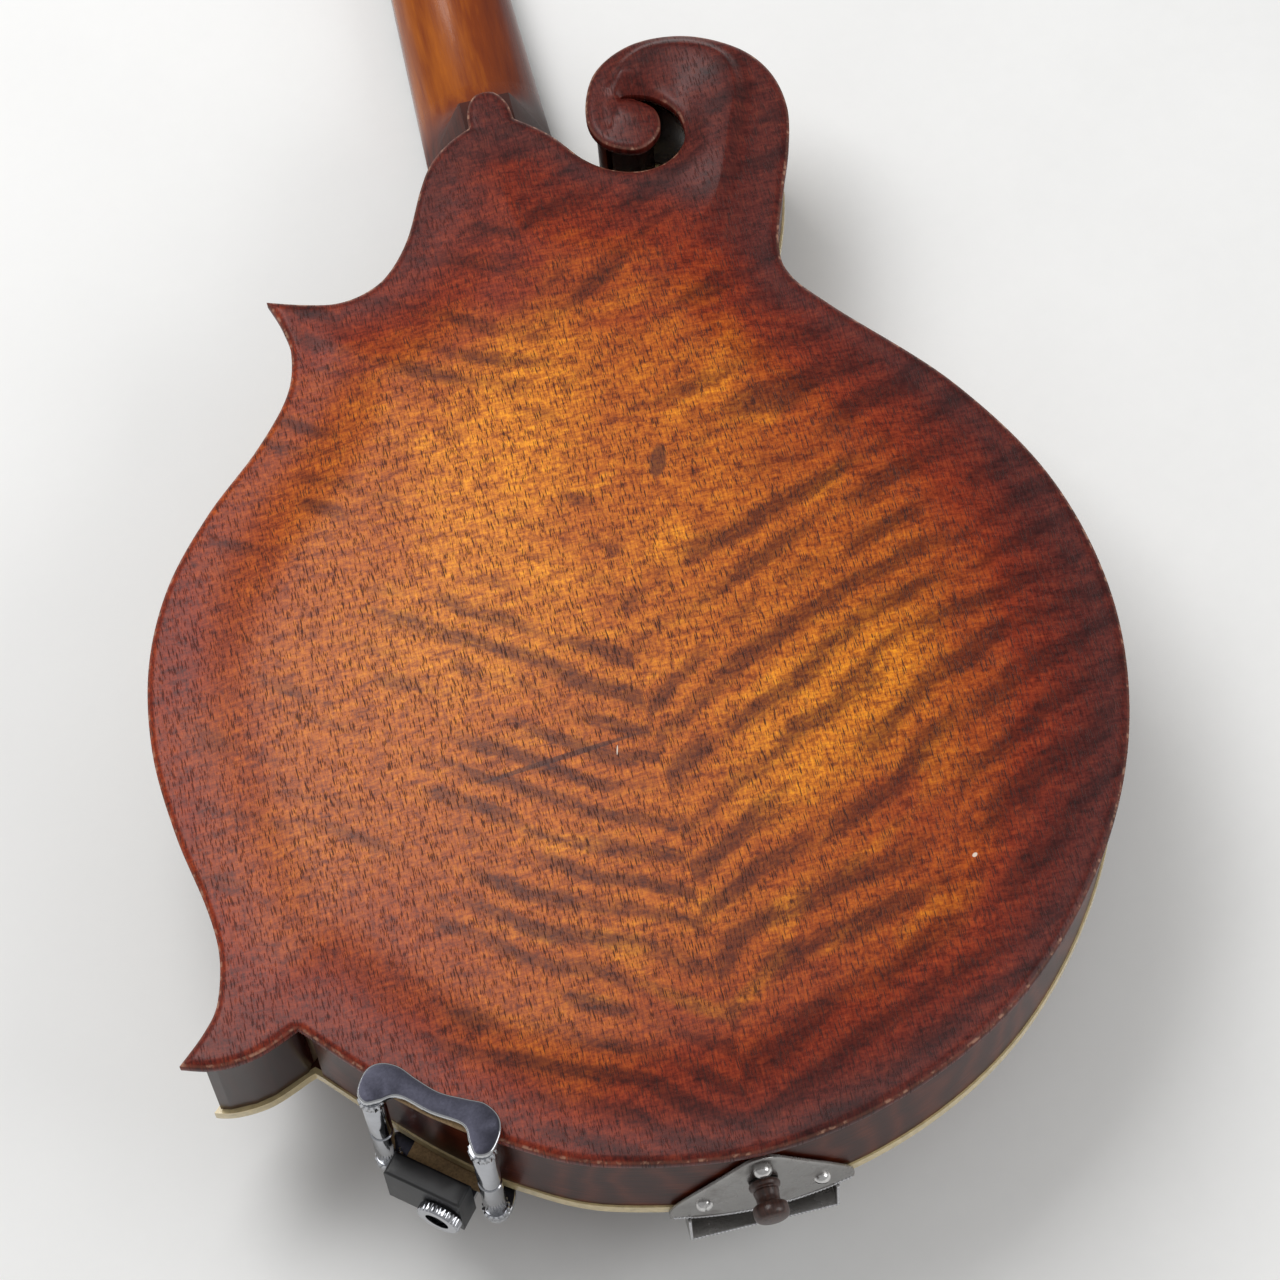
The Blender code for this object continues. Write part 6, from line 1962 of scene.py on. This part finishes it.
@dataclass
class Clamp:
    """Two S-shaped brackets drawn together by two barrels, their corks, and the jack block."""

    shell: Shell
    barrels: tuple = ((-93.6, 38.5), (-69.0, 17.8))
    band: tuple = ((0.0, 3.2), (3.2, 1.0), (7.0, -2.2), (16.1, -1.9), (25.2, -2.6), (29.0, 0.8),
                   (32.1, 3.2), (35.3, 1.0), (35.2, -4.6), (32.8, -8.6), (28.0, -10.3),
                   (23.0, -9.3), (16.0, -7.9), (9.1, -8.5), (3.0, -9.5), (-1.8, -8.1),
                   (-4.1, -4.6), (-3.3, 1.2))
    pad: tuple = ((4.0, -2.2), (16.0, -1.7), (28.0, -2.2), (28.4, -9.4), (22.0, -8.7),
                  (16.0, -7.5), (9.0, -8.1), (4.0, -8.9))
    thick: float = 2.2
    cork: float = 1.6
    gap: float = 0.3
    barrel_radius: float = 3.2
    nut_radius: float = 3.8
    nut_tall: float = 3.4
    barrel_bore: float = 1.9
    rod_radius: float = 1.5
    rod_long: float = 13.0
    jack_half: float = 11.2
    jack_face: float = 9.0
    jack_top: float = -28.0
    jack_shift: float = 5.5
    jack_z: float = -38.0
    ring: float = 6.2
    bore: float = 3.4

    def placed(self, points: Array) -> Array:
        """Carry points drawn along and away from the barrels into the body's drawing."""
        return self.a + np.outer(points[:, 0], self.along) + np.outer(points[:, 1], self.out)

    def bracket(self, name: str, low: float, rods: tuple) -> Piece:
        """Make one bracket with its two rods.

        Args:
            name: Name of the piece.
            low: Height of its lower face.
            rods: Heights of the ends of its rods.

        Returns:
            The linked object.
        """
        fit = self.span / self.band[6][0]
        line = self.placed(spline(list(self.band), closed=True, steps=10) * fit)
        ob = slabbed(name, BODY, line, low, low + self.thick, 0.5, pitch=5.0)
        for p in (self.a, self.b):
            lay = BODY.inner((*p, 0.0))
            ob = carve(ob, rod("rod", lay, self.rod_radius, *rods, 24), "UNION")
        return ob

    def knurled(self, radius: float, bore: float, low: float, high: float, teeth: int,
                deep: float) -> Array:
        """Work out a tube with a knurled side: its radius less a depth times the even ridges.

        Args:
            radius: Outer radius.
            bore: Inner radius.
            low: Height of its lower end.
            high: Height of its upper end.
            teeth: Number of ridges.
            deep: Depth of the ridges.

        Returns:
            Points by row, column and axis.
        """
        a = angles(teeth * 6)
        ridge = deep * (0.5 - 0.5 * np.cos(a * teeth))
        r, h, share = np.array([(bore, low, 0), (radius - 0.5, low, 0), (radius, low + 0.5, 1),
                                (radius, high - 0.5, 1), (radius - 0.5, high, 0),
                                (bore, high, 0)]).T[..., None]
        return ringed(r - ridge * share, a, h)

    def build(self) -> None:
        """Make and dress the clamp."""
        self.a, self.b = (np.array(p) for p in self.barrels)
        self.span = float(norm(self.b - self.a))
        self.along = (self.b - self.a) / self.span
        self.out = np.array((self.along[1], -self.along[0]))
        # Chrome a little darker than bare chrome: partly the metal's colour, partly painted dark reflection.
        chrome = Plain("clamp_chrome", colour=(0.46, 0.47, 0.50), dark=0.9, rough=0.10,
                       metal=1.0, depth=0.004).material()
        # The brackets' finish, its faces painted near black as dark reflection.
        satin = SatinPaintedDark("clamp_satin").material()
        cork = Plain("clamp_cork_sheet", colour=(0.40, 0.26, 0.13), dark=0.55, rough=0.85,
                     scale=1.6, depth=0.25).material()
        back = 2 * self.gap + self.cork
        low_cork = self.shell.top_edge - self.gap - self.cork
        low = low_cork - self.gap - self.thick
        ob = self.bracket("clamp_back_bracket_bent", back, (back - self.rod_long, back + 0.7))
        finished(ob, satin, "nickel_plate", "clamp_back_bracket", body="back_bracket")
        ob = self.bracket("clamp_top_bracket_bent", low,
                          (low + self.thick - 0.7, low + self.thick + self.rod_long))
        mid = (self.a + self.b) / 2
        tab = mid - self.a
        tab = [(np.dot(tab, self.along) + u, v) for u, v in ((-9, -3), (-9, 8), (9, 8), (9, -3))]
        grid = raised(self.placed(np.array(tab)), (low, low + self.thick))
        ob = carve(ob, skin("tab", BODY, grid), "UNION")
        finished(ob, satin, "nickel_plate", "clamp_top_bracket")
        pad = self.placed(np.array(self.pad) * self.span / self.band[6][0])
        for name, z, body in (("clamp_cork", self.gap, "back_bracket"),
                              ("clamp_top_cork", low_cork, "instrument")):
            ob = slabbed(name + "_sheet", BODY, pad, z, z + self.cork, 0.2)
            finished(ob, cork, "clamp_cork_sheet", name, body=body)
        z0, z1 = low + self.thick + self.gap, back - self.gap
        half, r = (z1 - z0) / 2, self.barrel_radius
        for k, p in enumerate((self.a, self.b)):
            lay = BODY.inner((*p, (z0 + z1) / 2))
            body, number = "barrel_%d" % (k + 1), k + 1
            end = half - self.nut_tall
            tube = [(self.barrel_bore, -end), (r - 0.2, -end), (r, 0.4 - end), (r, -1.6),
                    (r - 0.3, -1.4), (r - 0.3, 1.4), (r, 1.6), (r, end - 0.4), (r - 0.2, end),
                    (self.barrel_bore, end)]
            ob = turned("clamp_barrel_tube_%d" % number, lay, tube, 48, closed=True)
            finished(ob, chrome, "nickel_plate", "clamp_barrel_%d" % number, body=body)
            for side, (h0, h1) in enumerate(((-half, -end), (end, half))):
                grid = self.knurled(self.nut_radius, self.barrel_bore, h0, h1, 16, 0.35)
                ob = skin("clamp_nut_%d_%d" % (number, side), lay, grid, True, 30)
                finished(ob, chrome, "nickel_plate", body=body)
        box = np.array([(-1.0, 2.2), (-1.0, self.jack_face), (1.0, self.jack_face), (1.0, 2.2)])
        box = box * (self.jack_half, 1.0) + (np.dot(mid - self.a, self.along), 0.0)
        line = divided(self.placed(box), 1.5)
        ob = slabbed("jack_block_cast", BODY, line, low + self.thick + self.gap, self.jack_top, 0.8,
                     pitch=4.0)
        axes = np.column_stack([(*self.along, 0.0), (0.0, 0.0, 1.0), (*self.out, 0.0)])
        spot = mid + self.along * self.jack_shift + self.out * self.jack_face
        lay = BODY.inner((*spot, self.jack_z), axes)
        ob = carve(ob, rod("jack_bore", lay, self.bore, -6.0, 2.0, 32), "DIFFERENCE")
        black = Plain("jack_box", colour=(0.010, 0.010, 0.011), dark=0.7, rough=0.45).material()
        finished(ob, black, "jack_box", "jack_block")
        grid = self.knurled(self.ring, self.bore, 0.3, 3.3, 30, 0.3)
        ob = skin("jack_ring_turned", lay, grid, True, 30)
        finished(ob, chrome, "nickel_plate", "jack_ring")


@dataclass
class Blocks:
    """Head block that fills the scroll, and the blocks and brace inside the body."""

    shell: Shell
    inset: float = 5.4
    rib_inset: float = 2.5
    varnish_from: float = 288.0

    def build(self) -> None:
        """Make and dress them."""
        s = self.shell
        wood = BlockWood("inner_wood").material()
        start = int(norm(s.bass - (80.6, 291.5), axis=1).argmin())
        stop = int(norm(s.shoulder - (-31.4, 289.0), axis=1).argmin())
        curl = s.curl_knot * s.steps
        path = np.vstack([s.bass[start:], s.shoulder[:stop + 1]])
        k = np.arange(len(path))
        bare = (k < len(s.bass) - start) & ~((path[:, 1] > 309) & (path[:, 0] < 22))
        ribbed = (k <= curl - start) | (~bare & (path[:, 1] < 307.8))
        inset = np.where(ribbed, self.inset, np.where(bare, self.rib_inset, 0.0))
        line = np.vstack([offset(path, inset, closed=False),
                          [(-16.0, 280.0), (24.0, 268.0), (46.0, 282.0)]])
        heights = tuple(np.linspace(s.rib_bottom, s.rib_top, 5))
        ob = skin("head_block_shaped", BODY, raised(line, heights))
        note(ob, "varnished", (drawn(ob)[:, 1] > self.varnish_from).astype(float))
        finished(ob, wood, "inner_wood", "head_block")
        for node in ("tail_block", "point_block_upper", "point_block_lower", "top_brace"):
            ob = refined(node, node + "_sawn", 0.0)
            near = distance(drawn(ob)[:, :2], s.rim) < self.rib_inset + 0.9
            note(ob, "varnished", near.astype(float))
            finished(ob, wood, "inner_wood", node)


@dataclass
class Studio:
    """Camera, lights and floor."""

    focal: float = 4308.33          # pixels on a width of 1280
    tilt: float = 26.3485
    swing: float = -7.8207
    roll: float = -14.8386
    away: float = 1160.25
    aim: tuple = (3.268, 148.644, 0.0)
    room: float = 0.42              # strength of the light from all round
    floor_half: float = 4.0         # metres, as the next
    lamp_side: float = 0.7

    def camera(self) -> None:
        """Stand the camera where the photograph was taken from."""
        t, a, r = (math.radians(v) for v in (self.tilt, self.swing, self.roll))
        back = np.array([math.sin(a) * math.sin(t), -math.cos(a) * math.sin(t), math.cos(t)])
        right = np.cross(-back, (0.0, 1.0, 0.0))
        right /= norm(right)
        up = np.cross(right, -back)
        across = math.cos(r) * right + math.sin(r) * up
        upward = -math.sin(r) * right + math.cos(r) * up
        place = np.eye(4)
        place[:3, :3] = BODY.axes @ np.column_stack([across, upward, back])
        place[:3, 3] = BODY.world(np.array(self.aim) + back * self.away)
        data = bpy.data.cameras.new("camera")
        data.sensor_width = 36.0
        data.lens = 36.0 * self.focal / 1280.0
        data.clip_start, data.clip_end = 0.05, 50.0
        ob = bpy.data.objects.new("camera", data)
        ob.matrix_world = Matrix(place.tolist())
        bpy.context.scene.collection.objects.link(ob)
        bpy.context.scene.camera = ob

    def lamp(self, name: str, spot: tuple, power: float) -> None:
        """Hang a soft square light that looks at the middle of the body.

        Args:
            name: Name of the light.
            spot: Its place in the body's drawing.
            power: Its power in watts.
        """
        data = bpy.data.lights.new(name, "AREA")
        data.size, data.energy = self.lamp_side, power
        ob = bpy.data.objects.new(name, data)
        ob.location = BODY.world(spot)
        aim = Vector(BODY.world((0.0, 150.0, 0.0))) - ob.location
        ob.rotation_euler = aim.to_track_quat("-Z", "Y").to_euler()
        bpy.context.scene.collection.objects.link(ob)

    def build(self) -> None:
        """Set up the whole studio."""
        self.camera()
        self.lamp("key_light", (-330.0, 560.0, 1050.0), 9.0)
        self.lamp("side_light", (900.0, -300.0, 700.0), 4.0)
        world = bpy.data.worlds.new("studio")
        world.use_nodes = True
        tree = world.node_tree
        tree.nodes.clear()
        ray = tree.nodes.new("ShaderNodeLightPath")
        pick, out = tree.nodes.new("ShaderNodeMixShader"), tree.nodes.new("ShaderNodeOutputWorld")
        tree.links.new(ray.outputs["Is Camera Ray"], pick.inputs[0])
        for k, strength in ((1, self.room), (2, 1.0)):
            shade = tree.nodes.new("ShaderNodeBackground")
            shade.inputs[0].default_value = (1, 1, 1, 1)
            shade.inputs[1].default_value = strength
            tree.links.new(shade.outputs[0], pick.inputs[k])
        tree.links.new(pick.outputs[0], out.inputs[0])
        bpy.context.scene.world = world
        bpy.context.scene.view_settings.view_transform = "Standard"
        mesh = bpy.data.meshes.new("floor")
        low, far = min(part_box(n)[0].z for n in frame["nodes"]), self.floor_half
        corners = [(x * far, y * far, low) for x, y in ((-1, -1), (1, -1), (1, 1), (-1, 1))]
        mesh.from_pydata(corners, [], [(0, 1, 2, 3)])
        floor = bpy.data.objects.new("floor", mesh)
        bpy.context.scene.collection.objects.link(floor)
        mesh.materials.append(Plain("floor", colour=(0.86, 0.86, 0.85), dark=0.98, rough=0.6,
                                    scale=0.02).material())


def main() -> None:
    """Build the scene."""
    logging.basicConfig(level=logging.INFO)
    shell = Shell()
    Studio().build()
    for kind in (Back, Rims, Front, Blocks, Neck, Board, Bridge, Strings, Tail, Clamp):
        kind(shell).build()
    Tuners().build()


if __name__ == "__main__":
    main()
